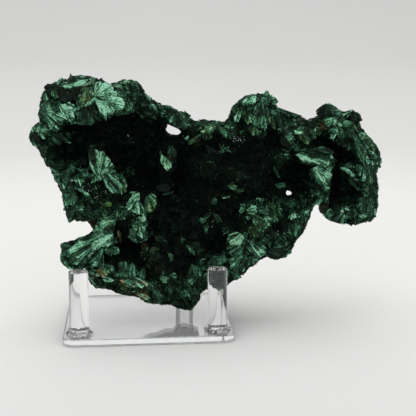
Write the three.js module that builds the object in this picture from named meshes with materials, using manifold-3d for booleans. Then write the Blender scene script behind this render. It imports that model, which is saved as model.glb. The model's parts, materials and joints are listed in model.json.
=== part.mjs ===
// A fibrous malachite specimen, wedged on a clear acrylic stand: three pegs cemented on a plate.
// Millimetres, +Z up. The origin is the centre of the plate's underside, the stand's front
// faces -Y, and the specimen's long axis lies along X.

import * as THREE from "three";
import { ImprovedNoise } from "three/addons/math/ImprovedNoise.js";
import { MarchingCubes } from "three/addons/objects/MarchingCubes.js";
import { mergeVertices } from "three/addons/utils/BufferGeometryUtils.js";
import Module from "manifold-3d";

const wasm = await Module();
wasm.setup();

// ---- Stand -----------------------------------------------------------------------------
const PLATE = { width: 83, depth: 78, thickness: 3.5, corner: 6, bevel: 0.4 };
const PEG = { radius: 4.75, bevel: 0.4, sides: 24 };
// Where each peg stands, and how far it rises above the plate. The specimen leans back on the
// rear one, which stands behind its lowest point, nearer to its centre of mass.
const PEGS = {
  peg_front_left: { x: -33.5, y: -29, height: 31 },
  peg_front_right: { x: 33.5, y: -29, height: 31 },
  peg_rear: { x: 21, y: 29, height: 63.5 },
};
const FIT_GAP = 0.3; // the cement under each peg, and the space between a peg and the specimen

// ---- Specimen --------------------------------------------------------------------------
// The cube of space that holds it, and how finely its surface is traced there.
const GRID = { cell: 4.2, half: 100, centre: [32, 2, 64], maxFacets: 30000 };
const BLEND = { lobes: 1.6, hollows: 1.2 }; // how softly neighbours run into each other
const RELIEF = { height: 1.7, wavelength: 11 }; // craggy relief over the whole surface

// The mass grew as one. Its form is a set of rounded lobes that run into each other, less
// a set of hollows. Each is [x, y, z, half-width, half-depth, half-height, turn], with the
// turn in degrees, anticlockwise as seen from the front.
const LOBES = {
  topLeftLedge: [
    [-42.5, -10, 116, 6.5, 12, 6.5],
    [-35, -6, 120.5, 4, 9, 4.5],
    [-27.5, -12, 117, 7, 14, 6.5],
    [-24.5, -8, 121, 4.5, 9, 4],
    [-18, -14, 116, 8, 15, 6],
    [-26.5, -17, 108.5, 7, 10, 5, -12],
    [-41, -14, 109, 9, 12, 5, 10],
    [-8, -4, 118.5, 5, 10, 6.5],
    [-2.5, -4, 112.5, 7.5, 11, 4.5, -30],
    [4, 0, 108, 5.5, 10, 4, -25],
    [-13, -15, 112, 5.5, 12, 3],
  ],
  leftWall: [
    [-52.5, -8, 97, 4, 9, 5],
    [-44.5, -10, 100, 7.5, 10, 4, -35],
    [-47, -4, 90.5, 4.5, 10, 4],
    [-44, -4, 85, 5.5, 11, 4.5, -30],
    [-39, -6, 79, 5.5, 12, 5.5],
    [-35, -8, 72, 6, 13, 6],
    [-33.5, -8, 63.5, 6.5, 13, 7.5],
    [-18.5, -15, 80.5, 12.5, 8, 6, -48],
    [-28.5, -12, 84.5, 6.5, 9, 4.5, 10],
    [-26, -11, 73, 10, 11, 7],
    [-22, -11, 63, 11, 11, 7],
    [-13, -10, 59, 6.5, 11, 5.5],
  ],
  centreRidge: [
    [-3, -13, 63.5, 7, 10, 6.5],
    [3, -9, 65, 3.5, 8, 5],
    [-4.5, -13, 51.5, 5.5, 10, 6.5],
  ],
  leftFoot: [
    [-35, -17, 40.5, 7, 11, 7],
    [-25.5, -14, 43.5, 9.5, 11, 6.5, 25],
    [-17, -12, 50, 8, 10, 5, 25],
    [-20.5, -9, 27, 9, 11, 6],
    [-8.5, -9, 24.5, 9, 12, 6, -20],
    [2.5, -8, 20.5, 7.5, 12, 7.5],
    [-19.5, -4, 34.5, 9, 14, 7],
  ],
  lowerTip: [
    [10.5, -6, 21, 9, 13, 9.5],
    [19.5, -7, 16, 7, 11, 7.5],
    [25, -8, 25, 6.5, 12, 7],
    [35, -9, 28.5, 7.5, 15, 8.5],
    [46, -6, 33, 11.5, 14, 6, 40],
    [6.5, 0, 31, 13.5, 14, 12.5],
  ],
  rightFlank: [
    [66.5, -3, 41, 10.5, 13, 8, 15],
    [53.5, -6, 43, 11, 12, 9, 30],
    [74.5, 0, 51, 7.5, 12, 7],
    [80.5, 0, 57.5, 4, 10, 5],
    [56.5, -6, 56.5, 10, 11, 8],
  ],
  backbone: [
    [23, 9, 48.5, 23, 15.6, 23],
    [41, 8, 69.5, 26, 13, 23],
    [-8, 9, 59.5, 22, 13, 21],
    [-18, 14, 82.5, 24, 8, 15.5],
    [10.5, 13, 85, 17.5, 8, 14.5],
    [53.5, 5, 80, 18.5, 13, 15.5],
    [57, 8, 48, 21, 13, 16],
    [-25, 8, 103.5, 25.5, 10, 13.5, -15],
    [-30.5, 6, 76, 11.5, 12, 22.5],
    [35, 6, 93, 20.5, 10, 7],
    [-1.5, 12, 101, 12.5, 8, 8.5, -25],
    [13, 9, 92, 9.5, 9, 5],
    [82, 9, 89, 12.5, 9, 8.5],
    [-11, 10, 36.5, 13.5, 12, 13.5],
    [97.5, 13, 76, 14, 8, 15],
    [7.5, 9, 48.5, 13.5, 14, 19],
    [-40.5, 5, 93, 10, 9, 12.5],
  ],
  centreBoss: [
    [29.5, -4, 81.5, 11, 8, 8],
    [47, -6, 76.5, 10, 10, 7],
    [10, -6, 84.5, 4, 10, 7.5],
    [8.5, -3, 71.5, 5, 9, 4.5],
    [33, -4, 51, 7, 8, 6],
    [22, -4, 38, 8, 8, 6],
  ],
  bridge: [
    [14, 0, 105.5, 8, 8, 3.5, -22],
    [28, 0, 99.5, 8, 8, 3],
    [38.5, 0, 98.5, 7, 9, 3.5],
    [42.5, -8, 97.5, 4.5, 6, 4],
  ],
  topKnob: [
    [55.5, -4, 108, 8.5, 11, 9],
    [46.5, -3, 106.5, 4, 8, 4.5],
    [60.5, -2, 110.5, 4, 9, 6.5],
    [55.5, -11, 102, 6, 7, 4.5],
    [49, -6, 94.5, 9, 9, 6],
  ],
  topRight: [
    [71, -1, 100, 7.5, 11, 6, -20],
    [81.5, 0, 98, 7.5, 12, 6],
    [93, 0, 104, 5, 9, 7.5],
    [99.5, 0, 100, 7, 10, 5.5, -30],
    [106, 3, 104, 2.5, 5, 3.5],
    [70.5, -11, 95.5, 4.5, 6, 6.5, 15],
    [66.5, 4, 88, 10.5, 12, 10.5],
  ],
  rightLobe: [
    [106.5, 0, 94, 6, 11, 4.5, -45],
    [110.5, 0, 87, 5.5, 12, 7, -30],
    [117.5, 0, 84, 3.5, 5, 2],
    [111.5, -2, 79.5, 5, 12, 7],
    [112.5, -2, 69.5, 5, 12, 7],
    [113.5, -2, 61.5, 5, 12, 6.5],
    [106.5, -4, 57, 9, 12, 5.5],
    [99, -2, 56, 8, 11, 4.5],
    [105.5, 9, 67, 10.5, 10, 15],
    [102, 11, 86.5, 14, 9, 12.5],
    [104.5, -6, 77.5, 6, 6, 2.5, -35],
  ],
  rightWeb: [
    [85, -7, 85, 10.5, 9, 3, -14],
    [89, -6, 74, 5.5, 8, 10],
    [88, -3, 65, 3.5, 7, 4.5],
    [82, 11, 72, 13.5, 8, 13.5],
    [78, 3, 58.5, 7.5, 9, 5],
    [72.5, 4, 64, 8.5, 10, 6],
  ],
};

// The hollows that the growth left open, in the same form.
const HOLLOWS = [
  [-28, -16, 92.5, 15, 16, 10.5], // upper cavity, left
  [-9, -16, 93, 19.5, 19, 15.5, -20], // upper cavity
  [0, -13, 79, 7, 17, 12], // its lower right end
  [-35, -18, 99, 7, 13, 5, -30], // its left mouth
  [-19.5, -22, 39.5, 11, 10, 3.5, 8], // slot under the foot fan
  [-13, -20, 52.5, 3.5, 8, 5.5], // pocket
  [101, -11, 86, 6, 14, 4.5], // right upper pocket
  [96.5, -12, 70.5, 4.5, 14, 10], // right lower pocket
  [76, -9, 74, 6, 13, 7.5], // round hollow
  [63.5, -13, 94.5, 6, 9, 5], // shade
  [26.5, -14, 58.5, 16, 11, 11], // dark concave face
  [50.5, -16, 90.5, 10, 9, 4.5], // shade under the knob
  [86.5, -6, 56.5, 3.5, 40, 4], // notch right
  [-36.5, -8, 50.5, 7.5, 24, 4, -12], // notch left
  [60, -10, 34.5, 2, 14, 2.5], // nick
];

// Small holes right through the mass: [x, z, half-width, half-height, turn, yaw, rise],
// with the hole's own direction as degrees of yaw to +X and of rise.
const THROUGH_HOLES = [
  [14, 98.5, 4.9, 2.9, -15, 3, -5],
  [73, 66, 2.8, 2.4, 0, 10, -9],
];

const MATERIALS = {
  acrylic: new THREE.MeshStandardMaterial({ color: 0xf2f6f5, roughness: 0.04, metalness: 0 }),
  malachite: new THREE.MeshStandardMaterial({ color: 0x1f5a40, roughness: 0.6, metalness: 0 }),
};

/** A closed geometry as a solid that can be joined and cut. */
function toSolid(geometry) {
  const bare = geometry.index ? geometry.toNonIndexed() : geometry.clone();
  for (const name of Object.keys(bare.attributes)) {
    if (name !== "position") bare.deleteAttribute(name);
  }
  const merged = mergeVertices(bare, 1e-4);
  return new wasm.Manifold(
    new wasm.Mesh({
      numProp: 3,
      vertProperties: merged.attributes.position.array,
      triVerts: new Uint32Array(merged.index.array),
    }),
  );
}

/** A solid's surface as a flat-shaded geometry. */
function toGeometry(solid) {
  const { vertProperties, triVerts } = solid.getMesh();
  const geometry = new THREE.BufferGeometry();
  geometry.setAttribute("position", new THREE.BufferAttribute(vertProperties, 3));
  geometry.setIndex(new THREE.BufferAttribute(triVerts, 1));
  const flat = geometry.toNonIndexed();
  flat.computeVertexNormals();
  return flat;
}

/** A named mesh of one piece. */
function piece(name, geometry, material) {
  const mesh = new THREE.Mesh(geometry, material.clone());
  mesh.name = name;
  return mesh;
}

// ---- Specimen's form -------------------------------------------------------------------

/** Distance from p to one lobe's surface, about true near it and negative inside. */
function lobeDistance(p, [x, y, z, rx, ry, rz, turn = 0]) {
  const angle = THREE.MathUtils.degToRad(turn);
  const [dx, dz] = [p.x - x, p.z - z];
  const along = dx * Math.cos(angle) + dz * Math.sin(angle);
  const across = dz * Math.cos(angle) - dx * Math.sin(angle);
  const [u, v, w] = [along / rx, (p.y - y) / ry, across / rz];
  const reach = Math.hypot(u, v, w);
  return (reach * (reach - 1)) / (Math.hypot(u / rx, v / ry, w / rz) + 1e-9);
}

/** Distance to many lobes at once, with the creases between them filled softly. */
function blendedDistance(p, lobes, softness) {
  let sum = 0;
  for (const lobe of lobes) sum += Math.exp(-lobeDistance(p, lobe) / softness);
  return -softness * Math.log(sum + 1e-30);
}

const noise = new ImprovedNoise();

/** Height of the craggy relief at p. */
function relief(p) {
  const [u, v, w] = [p.x, p.y, p.z].map((c) => c / RELIEF.wavelength);
  const coarse = noise.noise(u, v, w);
  const fine = noise.noise(2 * u + 5.3, 2 * v + 1.7, 2 * w + 9.1);
  return RELIEF.height * (coarse + 0.5 * fine);
}

/** Distance to the whole specimen's surface, negative inside. */
function specimenDistance(p, lobes) {
  const mass = blendedDistance(p, lobes, BLEND.lobes) - relief(p);
  const air = blendedDistance(p, HOLLOWS, BLEND.hollows);
  return Math.max(mass, -air);
}

/** The specimen's surface, traced on a grid of cubes. */
function specimenSurface() {
  const size = Math.round((2 * GRID.half) / GRID.cell);
  const cubes = new MarchingCubes(size, MATERIALS.malachite, false, false, GRID.maxFacets);
  cubes.isolation = 0;
  const lobes = Object.values(LOBES).flat();
  const [cx, cy, cz] = GRID.centre;
  const p = new THREE.Vector3();
  const place = (i) => ((2 * i) / size - 1) * GRID.half;
  for (let k = 0; k < size; k++) {
    for (let j = 0; j < size; j++) {
      for (let i = 0; i < size; i++) {
        p.set(place(i) + cx, place(j) + cy, place(k) + cz);
        cubes.setCell(i, j, k, -specimenDistance(p, lobes));
      }
    }
  }
  cubes.update();
  const geometry = new THREE.BufferGeometry();
  const corners = cubes.positionArray.slice(0, cubes.count * 3);
  geometry.setAttribute("position", new THREE.BufferAttribute(corners, 3));
  geometry.scale(GRID.half, GRID.half, GRID.half);
  geometry.translate(cx, cy, cz);
  return geometry;
}

/** A plug with an oval section, to bore one of the small holes. */
function holePlug([x, z, halfWidth, halfHeight, turn, yaw, rise]) {
  const [t, y, r] = [turn, yaw, rise].map(THREE.MathUtils.degToRad);
  const plug = new THREE.CylinderGeometry(1, 1, 80, 10, 1);
  plug.scale(halfWidth, 1, halfHeight);
  plug.rotateY(-t);
  plug.rotateX(r);
  plug.rotateZ(-y);
  plug.translate(x, 0, z);
  return toSolid(plug);
}

/** A peg's outline turned about its axis, grown all round by an allowance. */
function pegGeometry({ height }, allowance = 0) {
  const radius = PEG.radius + allowance;
  const foot = PLATE.thickness + FIT_GAP - allowance;
  const top = PLATE.thickness + height + allowance;
  const profile = [
    [0, foot],
    [radius - PEG.bevel, foot],
    [radius, foot + PEG.bevel],
    [radius, top - PEG.bevel],
    [radius - PEG.bevel, top],
    [0, top],
  ];
  const lathe = new THREE.LatheGeometry(profile.map(([r, h]) => new THREE.Vector2(r, h)), PEG.sides);
  return lathe.rotateX(Math.PI / 2);
}

/** A peg standing at its own place on the plate. */
function peg(name) {
  const mesh = piece(name, pegGeometry(PEGS[name]), MATERIALS.acrylic);
  mesh.position.set(PEGS[name].x, PEGS[name].y, 0);
  return mesh;
}

/** The base plate: a slab with rounded corners and softened edges. */
function basePlate() {
  const { width, depth, thickness, corner, bevel } = PLATE;
  const [w, d] = [width / 2 - bevel, depth / 2 - bevel];
  const r = corner - bevel;
  const outline = new THREE.Shape();
  outline.moveTo(-w + r, -d);
  outline.absarc(w - r, -d + r, r, -Math.PI / 2, 0);
  outline.absarc(w - r, d - r, r, 0, Math.PI / 2);
  outline.absarc(-w + r, d - r, r, Math.PI / 2, Math.PI);
  outline.absarc(-w + r, -d + r, r, Math.PI, 1.5 * Math.PI);
  const slab = new THREE.ExtrudeGeometry(outline, {
    depth: thickness - 2 * bevel,
    bevelThickness: bevel,
    bevelSize: bevel,
    bevelSegments: 1,
    curveSegments: 5,
  });
  slab.translate(0, 0, bevel);
  return piece("base_plate", toGeometry(toSolid(slab)), MATERIALS.acrylic);
}

/** The specimen, clear of the pegs that it is wedged between. */
function specimen() {
  let solid = toSolid(specimenSurface());
  for (const hole of THROUGH_HOLES) solid = solid.subtract(holePlug(hole));
  for (const place of Object.values(PEGS)) {
    const clearance = pegGeometry(place, FIT_GAP).translate(place.x, place.y, 0);
    solid = solid.subtract(toSolid(clearance));
  }
  const largestFirst = solid.decompose().sort((a, b) => b.volume() - a.volume());
  return piece("malachite", toGeometry(largestFirst[0]), MATERIALS.malachite);
}

const object = new THREE.Group();
object.add(basePlate(), ...Object.keys(PEGS).map(peg), specimen());
export default object;
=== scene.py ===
"""A fibrous malachite specimen on its clear acrylic peg stand.

Units are metres. Distances given in millimetres are multiplied by MM.
The CAD frame gives every place: the specimen's own layout is measured from the low
corner of its box, across (x) and up (z), as seen from the front.
"""

import json
import math

import bmesh
import bpy
import numpy as np
from mathutils import Matrix, Vector, noise
from mathutils.bvhtree import BVHTree

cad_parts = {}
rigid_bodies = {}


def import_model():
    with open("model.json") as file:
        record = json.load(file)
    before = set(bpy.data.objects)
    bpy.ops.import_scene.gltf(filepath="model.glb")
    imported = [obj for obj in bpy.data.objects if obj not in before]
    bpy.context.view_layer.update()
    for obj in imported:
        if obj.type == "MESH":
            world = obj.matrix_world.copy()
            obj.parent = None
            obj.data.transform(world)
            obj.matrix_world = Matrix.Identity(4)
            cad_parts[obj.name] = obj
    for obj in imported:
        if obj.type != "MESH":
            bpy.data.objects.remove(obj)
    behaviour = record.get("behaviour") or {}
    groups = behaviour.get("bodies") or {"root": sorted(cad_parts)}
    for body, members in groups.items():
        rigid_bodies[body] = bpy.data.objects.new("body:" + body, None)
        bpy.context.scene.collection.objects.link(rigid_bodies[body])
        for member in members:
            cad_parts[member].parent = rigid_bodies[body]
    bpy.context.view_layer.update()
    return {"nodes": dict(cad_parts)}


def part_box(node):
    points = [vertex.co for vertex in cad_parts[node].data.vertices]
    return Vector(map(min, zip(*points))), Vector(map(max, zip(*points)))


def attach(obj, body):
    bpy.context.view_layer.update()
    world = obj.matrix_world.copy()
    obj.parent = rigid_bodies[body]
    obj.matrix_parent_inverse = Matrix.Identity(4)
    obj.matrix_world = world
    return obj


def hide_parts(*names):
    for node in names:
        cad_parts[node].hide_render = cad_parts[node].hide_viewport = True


MM = 0.001
SEED = 7

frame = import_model()
rng = np.random.default_rng(SEED)

STONE_LOW, STONE_HIGH = (np.array(corner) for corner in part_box("malachite"))
STONE_MIDDLE = (STONE_LOW + STONE_HIGH) / 2

# ---------------------------------------------------------------- the layout of the growth
# The broken plates and sheaves of fibre that make up the specimen's front. Each is how
# pale, how yellow and how rusty it is, from 0 to 1; the way it faces, as degrees of turn
# to +X and of lift, or None to follow the surface and look forward; how far it stands
# out; the point that its fibres spread from, or None for just past its first corner; and
# its outline. Lengths are millimetres and places are (across, up) from the box's low corner.
PLATES = {
    "ledge": (0.95, 0, 0, (5, 35), 2, (33, 110), [(32, 116), (34.5, 117.5), (36.5, 116),
        (40, 115.5), (42, 114), (43.5, 110.5), (46, 108), (47, 106), (46, 104), (41, 104),
        (37.5, 102), (35, 104), (33.5, 107)]),
    "ledge_rim": (0.85, 0.1, 0, (-10, 30), 2.4, (34, 111.5), [(22.5, 104.5), (26, 106.5),
        (29.5, 108.5), (33, 110.5), (34, 108.5), (29.5, 107), (26, 105.5), (23, 103.5)]),
    "pyramid_top": (0.24, 0, 0, (-5, 5), 2.2, (29.5, 110.5), [(23, 104), (28, 105.5), (33, 107),
        (33.5, 104), (27.5, 103.5), (24, 102.5)]),
    "pyramid": (0.42, 0.25, 0, (-5, -8), 2, (29, 112.5), [(23.5, 103), (27.5, 104), (33.5, 104),
        (33.5, 100), (30.5, 97), (26.5, 99), (24.5, 101)]),
    "sheet_a": (0.78, 0, 0, (-15, 25), 2, (15, 108), [(15.5, 107), (18, 106.5), (21, 108),
        (24, 106), (22.5, 104), (23.5, 100.5), (21, 99.5), (18.5, 100.5), (16.5, 103.5)]),
    "sheet_b": (0.66, 0, 0, (-20, 15), 1.8, (7, 105), [(7, 103.5), (10.5, 104), (15.5, 103.5),
        (18.5, 101), (17, 98.5), (16, 96.5), (14.5, 94), (12, 96), (9.5, 100.5)]),
    "sheet_c": (0.55, 0, 0, (-25, 20), 1.2, (10.5, 109), [(7.5, 106.5), (10.5, 108.5), (12, 106),
        (15, 103.5), (11, 103.5), (7, 104)]),
    "corner": (0.24, 0, 0, (-10, 20), 1.5, (16.5, 112.5), [(10, 116), (14.5, 116), (18.5, 113.5),
        (21.5, 111), (22.5, 108.5), (17, 107.5), (13, 110), (10, 112)]),
    "corner_patch": (0.55, 0.5, 0, (-10, 25), 2.8, (13.5, 114.5), [(12, 113), (14, 113.5),
        (15.5, 112.5), (16.5, 110), (15, 109), (13, 110)]),
    "corner_left": (0.55, 0, 0, (-30, 15), 1.8, (9.5, 112.5), [(9, 111.5), (10.5, 111.5),
        (11.5, 109), (9.5, 108), (8.5, 109)]),
    "crescent": (0.82, 0, 0, (0, 40), 2.4, (15.5, 113), [(16.5, 113.5), (19, 112.5), (21, 111.5),
        (22, 110), (21, 109.5), (19, 111), (17, 112)]),
    "band_top": (0.78, 0, 0, (0, 45), 2, (16, 115.5), [(16, 114.5), (19.5, 115.5), (22.5, 115.5),
        (21.5, 114), (19, 113.5), (17, 114)]),
    "top_strip": (0.8, 0, 0, (0, 45), 2, (30, 118.5), [(22, 115.5), (24, 117.5), (29.5, 118),
        (28.5, 116), (25.5, 115), (23, 114.5)]),
    "top_knob_l": (0.3, 0.1, 0, (-10, 30), 1.5, (20.5, 115), [(18, 117.5), (19.5, 118.5),
        (21.5, 119), (23.5, 118), (22.5, 116.5), (18.5, 116)]),
    "top_knob_m": (0.35, 0.2, 0, (0, 35), 1.5, (33, 115.5), [(32.5, 118), (33.5, 119),
        (35.5, 117.5), (36, 116), (33.5, 117), (32.5, 116.5)]),
    "bank": (0.55, 0.85, 0.15, (0, 20), 1.6, (29, 114.5), [(27, 111), (29, 114), (31.5, 114.5),
        (33, 111), (30.5, 108.5), (27.5, 107), (25.5, 108.5), (26, 109.5)]),
    "valley": (0.22, 0, 0.1, (0, 25), 1, None, [(22.5, 114), (26.5, 115), (26.5, 112), (24.5, 110),
        (22, 108), (21, 110.5)]),
    "knob_l_top": (0.75, 0, 0, (-25, 35), 1.6, (5, 90.5), [(1.5, 93.5), (3, 95), (5, 95), (6, 93.5),
        (3.5, 93.5), (2, 92)]),
    "knob_l_right": (0.6, 0, 0, (-15, 15), 1.6, (5, 94.5), [(6, 93.5), (9, 91.5), (9, 89.5),
        (7, 90), (5.5, 92)]),
    "knob_l_low": (0.25, 0.1, 0, (-25, 0), 1.2, (4.5, 95.5), [(1.5, 92), (4.5, 93), (6, 91),
        (7, 88.5), (4, 88), (1.5, 89.5)]),
    "streaks": (0.32, 0, 0, (-10, 0), 1.4, (10.5, 95.5), [(10, 94), (14, 92), (16.5, 93),
        (18, 90.5), (21, 88), (16, 88.5), (12.5, 90)]),
    "streaks_rim": (0.6, 0, 0, (-5, 20), 2, (13, 94.5), [(13.5, 93), (16, 91.5), (18.5, 89),
        (21, 87.5), (19.5, 87), (16.5, 89)]),
    "slab": (0.7, 0.2, 0, (2, 20), 2.8, (33.8, 70.5), [(30.2, 86), (29.1, 81), (29.3, 76.5),
        (31.6, 73.4), (34, 72), (37, 72.4), (41.3, 75.8), (39, 79.8), (35.4, 82.8), (32.7, 84.6)]),
    "slab_low": (0.56, 0.05, 0, (12, 12), 2.2, (34, 76.5), [(34.6, 72.6), (38.5, 73.8), (41.3, 75.5),
        (43.3, 70.5), (44.7, 66.6), (43.2, 64.2), (40.4, 63.8), (37.2, 67)]),
    "slab_edge": (0.5, 0.75, 0, (10, 5), 2, (43, 72), [(43.5, 69.5), (46, 67.5), (47, 64),
        (44.5, 63), (43, 66)]),
    "slab_tip": (0.35, 0.65, 0.2, (0, 30), 2, (31.5, 78), [(29, 83), (32, 82.5), (35, 80.5),
        (32, 79.5), (28.5, 79)]),
    "slab_left": (0.28, 0, 0, (-15, 10), 1.4, (27.5, 80), [(22, 78), (25, 79.5), (28, 79.5),
        (28, 75.5), (24, 76), (22, 76)]),
    "slab_left_rim": (0.6, 0, 0, (-10, 25), 2.2, (28.5, 77), [(23, 76), (25.5, 75.5), (28.5, 75),
        (28.5, 73.5), (24.5, 74)]),
    "wall_fuzz": (0.55, 0, 0, (-30, 10), 1.4, (23, 67.5), [(16.5, 65), (19.5, 65.5), (22.5, 64),
        (23.5, 61), (21.5, 58), (17.5, 57.5), (16.5, 61)]),
    "wall_line": (0.68, 0, 0, (-15, 20), 2, (23.5, 67.5), [(22.5, 66.5), (25.5, 66.5), (28.5, 64.5),
        (31, 60), (29.5, 59.5), (27, 63.5), (24.5, 65)]),
    "wall_low": (0.3, 0.1, 0, (-30, 0), 1.2, (22.5, 58), [(17.5, 56), (21.5, 57), (22, 53.5),
        (20, 49), (17.5, 52)]),
    "wall_edge": (0.42, 0.1, 0, (-35, 10), 1.5, (21, 79), [(15, 73.5), (18, 75), (21, 78), (22, 76),
        (20, 72), (18, 68), (16, 70)]),
    "ridge_a": (0.68, 0, 0, (-5, 20), 2, (54, 64), [(47, 59), (50, 63), (53, 63.5), (53, 60),
        (50.5, 57.5), (47.5, 55.5)]),
    "ridge_b": (0.72, 0.1, 0, (0, 15), 2.2, (52, 61.5), [(50, 57.5), (53, 59.5), (55.5, 56.5),
        (54.5, 53), (51, 54)]),
    "ridge_green": (0.6, 0.6, 0, (12, 15), 2, (56.5, 64), [(56, 61), (59, 63), (61.5, 61.5),
        (61, 56), (58.5, 53.5), (55.5, 54.5), (55, 58.5)]),
    "ridge_spot": (0.42, 0.75, 0, None, 1.6, None, [(34.5, 59), (37, 60.5), (39.5, 59), (38, 57.5),
        (35.5, 58)]),
    "crystals_a": (0.62, 0.1, 0, None, 2, None, [(48.5, 48.5), (51.5, 50.5), (54.5, 51), (54, 47.5),
        (50, 47)]),
    "crystals_b": (0.85, 0.2, 0, (0, 20), 2.6, (56, 50), [(52.5, 51.5), (55.5, 55), (56, 51),
        (54.5, 50)]),
    "crystals_c": (0.65, 0.1, 0, None, 2, None, [(48, 46.5), (51.5, 46.5), (52.5, 43), (50, 42),
        (48, 43.5)]),
    "crystals_d": (0.7, 0.1, 0, None, 2.2, None, [(53, 48), (55.5, 48.5), (56, 44.5), (56.5, 42),
        (53.5, 41), (52, 42.5)]),
    "foot_a": (0.72, 0.1, 0, (-5, 22), 1.8, (42.5, 52), [(31.5, 49), (35, 50.5), (38.5, 51.5),
        (41.5, 49.5), (40, 44.5), (33.5, 42.5), (30.5, 45)]),
    "foot_b": (0.78, 0.05, 0, (-10, 20), 2.2, (42.5, 47), [(28, 41.5), (31.5, 44), (35.5, 43.5),
        (40, 44.5), (40, 40), (34.5, 38.5), (30, 36.5), (28, 38)]),
    "foot_c": (0.6, 0, 0, (-15, 18), 1.8, (35.5, 44), [(20.5, 39), (24, 42), (29, 42), (29, 37.5),
        (25, 33.5), (21, 35), (18.5, 37)]),
    "foot_d": (0.46, 0, 0, (-35, 15), 1, (22, 39), [(15, 39.5), (19, 41), (20, 37.5), (19, 33.5),
        (16, 35)]),
    "foot_e": (0.54, 0, 0, (-10, 0), 1.4, (32, 39.5), [(19.5, 33.5), (24, 34.5), (28, 36),
        (27, 31.5), (23, 30), (18.5, 31.5)]),
    "foot_f": (0.55, 0, 0, (0, 5), 1.8, (35.5, 37.5), [(28, 34), (33.5, 36), (35.5, 32.5),
        (32.5, 29), (35.5, 26), (31, 27), (27.5, 29.5)]),
    "foot_g": (0.52, 0, 0, (5, 15), 1.8, (37.5, 38.5), [(36.5, 36.5), (39, 37.5), (43, 36.5),
        (42.5, 34), (38, 33), (36, 34)]),
    "low_teal": (0.6, 0, 0, None, 1.4, None, [(28, 25), (31, 25.5), (33, 24), (31, 22), (28, 23)]),
    "rust_a": (0.78, 0.2, 1, None, 1.8, None, [(32, 25.5), (35, 26.5), (37, 24.5), (36.5, 21.5),
        (34, 22), (31.5, 22)]),
    "teal_b": (0.7, 0, 0, None, 1.8, None, [(34.5, 21), (37, 22), (40, 21), (40, 19.5), (36, 19.5)]),
    "clump_a": (0.46, 0, 0, None, 1.4, (46, 31), [(42, 28.5), (46, 28.5), (48, 24.5), (46, 21.5),
        (43, 22.5)]),
    "clump_b": (0.54, 0, 0, None, 1.8, (49.5, 30.5), [(47, 27), (50, 27.5), (52, 23.5), (51, 20.5),
        (48, 21)]),
    "clump_c": (0.44, 0, 0, None, 1.4, (55.5, 27.5), [(52, 23.5), (55, 25.5), (56, 21.5), (54, 19),
        (52, 19.5)]),
    "rust_b": (0.74, 0.2, 1, None, 1.8, None, [(43, 20.5), (47, 21), (49.5, 20.5), (50.5, 17.5),
        (47.5, 17), (44.5, 18)]),
    "rust_c": (0.76, 0.3, 0.8, None, 1.8, None, [(49.5, 21.5), (53, 21), (56.5, 18), (54.5, 16),
        (51, 17)]),
    "low_r1": (0.45, 0, 0, None, 1.8, (51, 23.5), [(53.5, 20), (57.5, 19), (60.5, 17.5), (59.5, 14),
        (56, 15), (54, 17)]),
    "low_r2": (0.36, 0, 0, None, 1.4, (55.5, 21), [(59.5, 17.5), (63, 16), (64, 10.5), (61, 8.5),
        (58.5, 12)]),
    "low_dark": (0.3, 0, 0.1, None, 1.2, None, [(38, 15.5), (42, 16), (46.5, 13.5), (49.5, 11.5),
        (45.5, 12), (40.5, 13.5)]),
    "rust_d": (0.7, 0.3, 1, None, 1.6, None, [(50.5, 13.5), (54.5, 13), (57.5, 11), (55.5, 10),
        (52, 11.5)]),
    "bridge": (0.42, 0, 0, None, 1.6, (71.5, 102.5), [(66.5, 99.5), (70.5, 100.5), (74.5, 99),
        (77.5, 96.5), (75.5, 93.5), (70.5, 95), (67.5, 97)]),
    "sag_green": (0.55, 0.65, 0, (0, 30), 2, (96.5, 97), [(83.5, 92), (87, 94), (90.5, 95.5),
        (95, 96.5), (93.5, 94), (90, 92), (85.5, 91)]),
    "sag_top": (0.45, 0.1, 0, (0, 40), 1.5, (79, 97), [(82, 96), (87, 95.5), (91, 96.5), (95, 96),
        (90, 94), (85, 94.5)]),
    "sag_low": (0.38, 0.75, 0, None, 1.4, (85, 91.5), [(78, 87), (81, 89.5), (84, 90.5), (84, 87.5),
        (81.5, 85.5), (78.5, 85.5)]),
    "glint_leaf": (0.85, 0.1, 0, None, 2, None, [(76, 88), (77.5, 89.5), (78.5, 88.5), (77.5, 87)]),
    "ring_a": (0.5, 0, 0, None, 1.8, None, [(93, 92), (95, 94), (97, 92), (96, 89), (94, 89)]),
    "arc_a": (0.4, 0, 0, None, 1.8, None, [(86, 85.5), (88.5, 83), (92, 82), (95.5, 83),
        (95.5, 81.5), (91.5, 80), (87.5, 81.5)]),
    "arc_b": (0.45, 0, 0, None, 2, None, [(92, 87), (94, 85), (97, 83.5), (99, 81.5), (96, 82),
        (93.5, 83.5)]),
    "leaf_rim": (0.7, 0.4, 0, (0, 15), 2.4, (64.5, 83.5), [(63.5, 83), (64.5, 81), (67, 79),
        (69, 77.5), (69, 75), (67, 74), (65, 75.5), (63.5, 79)]),
    "leaf_grey": (0.35, 0, 0, (5, 10), 2, (69, 86.5), [(67.5, 85), (69.5, 85.5), (71.5, 83),
        (71.5, 80.5), (69.5, 77), (68, 78.5), (67, 82.5)]),
    "hexagon": (0.22, 0, 0, None, 1.6, None, [(61.5, 65), (64.5, 66.5), (67.5, 66.5), (68, 63.5),
        (65.5, 62), (62.5, 63)]),
    "hexagon_rim": (0.5, 0, 0, None, 2, None, [(63.5, 60.5), (66.5, 61), (70, 61.5), (69.5, 60.5),
        (65.5, 59.5)]),
    "knob_face": (0.44, 0.05, 0, (8, 15), 2.2, (113, 109.5), [(108, 104), (113, 106.5),
        (116, 105.5), (117, 100.5), (115.5, 96), (112.5, 93.5), (109, 95.5), (108, 100)]),
    "knob_green": (0.55, 0.65, 0, (-15, 10), 2.4, (107.5, 105.5), [(105.5, 101.5), (107.5, 103.5),
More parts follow.
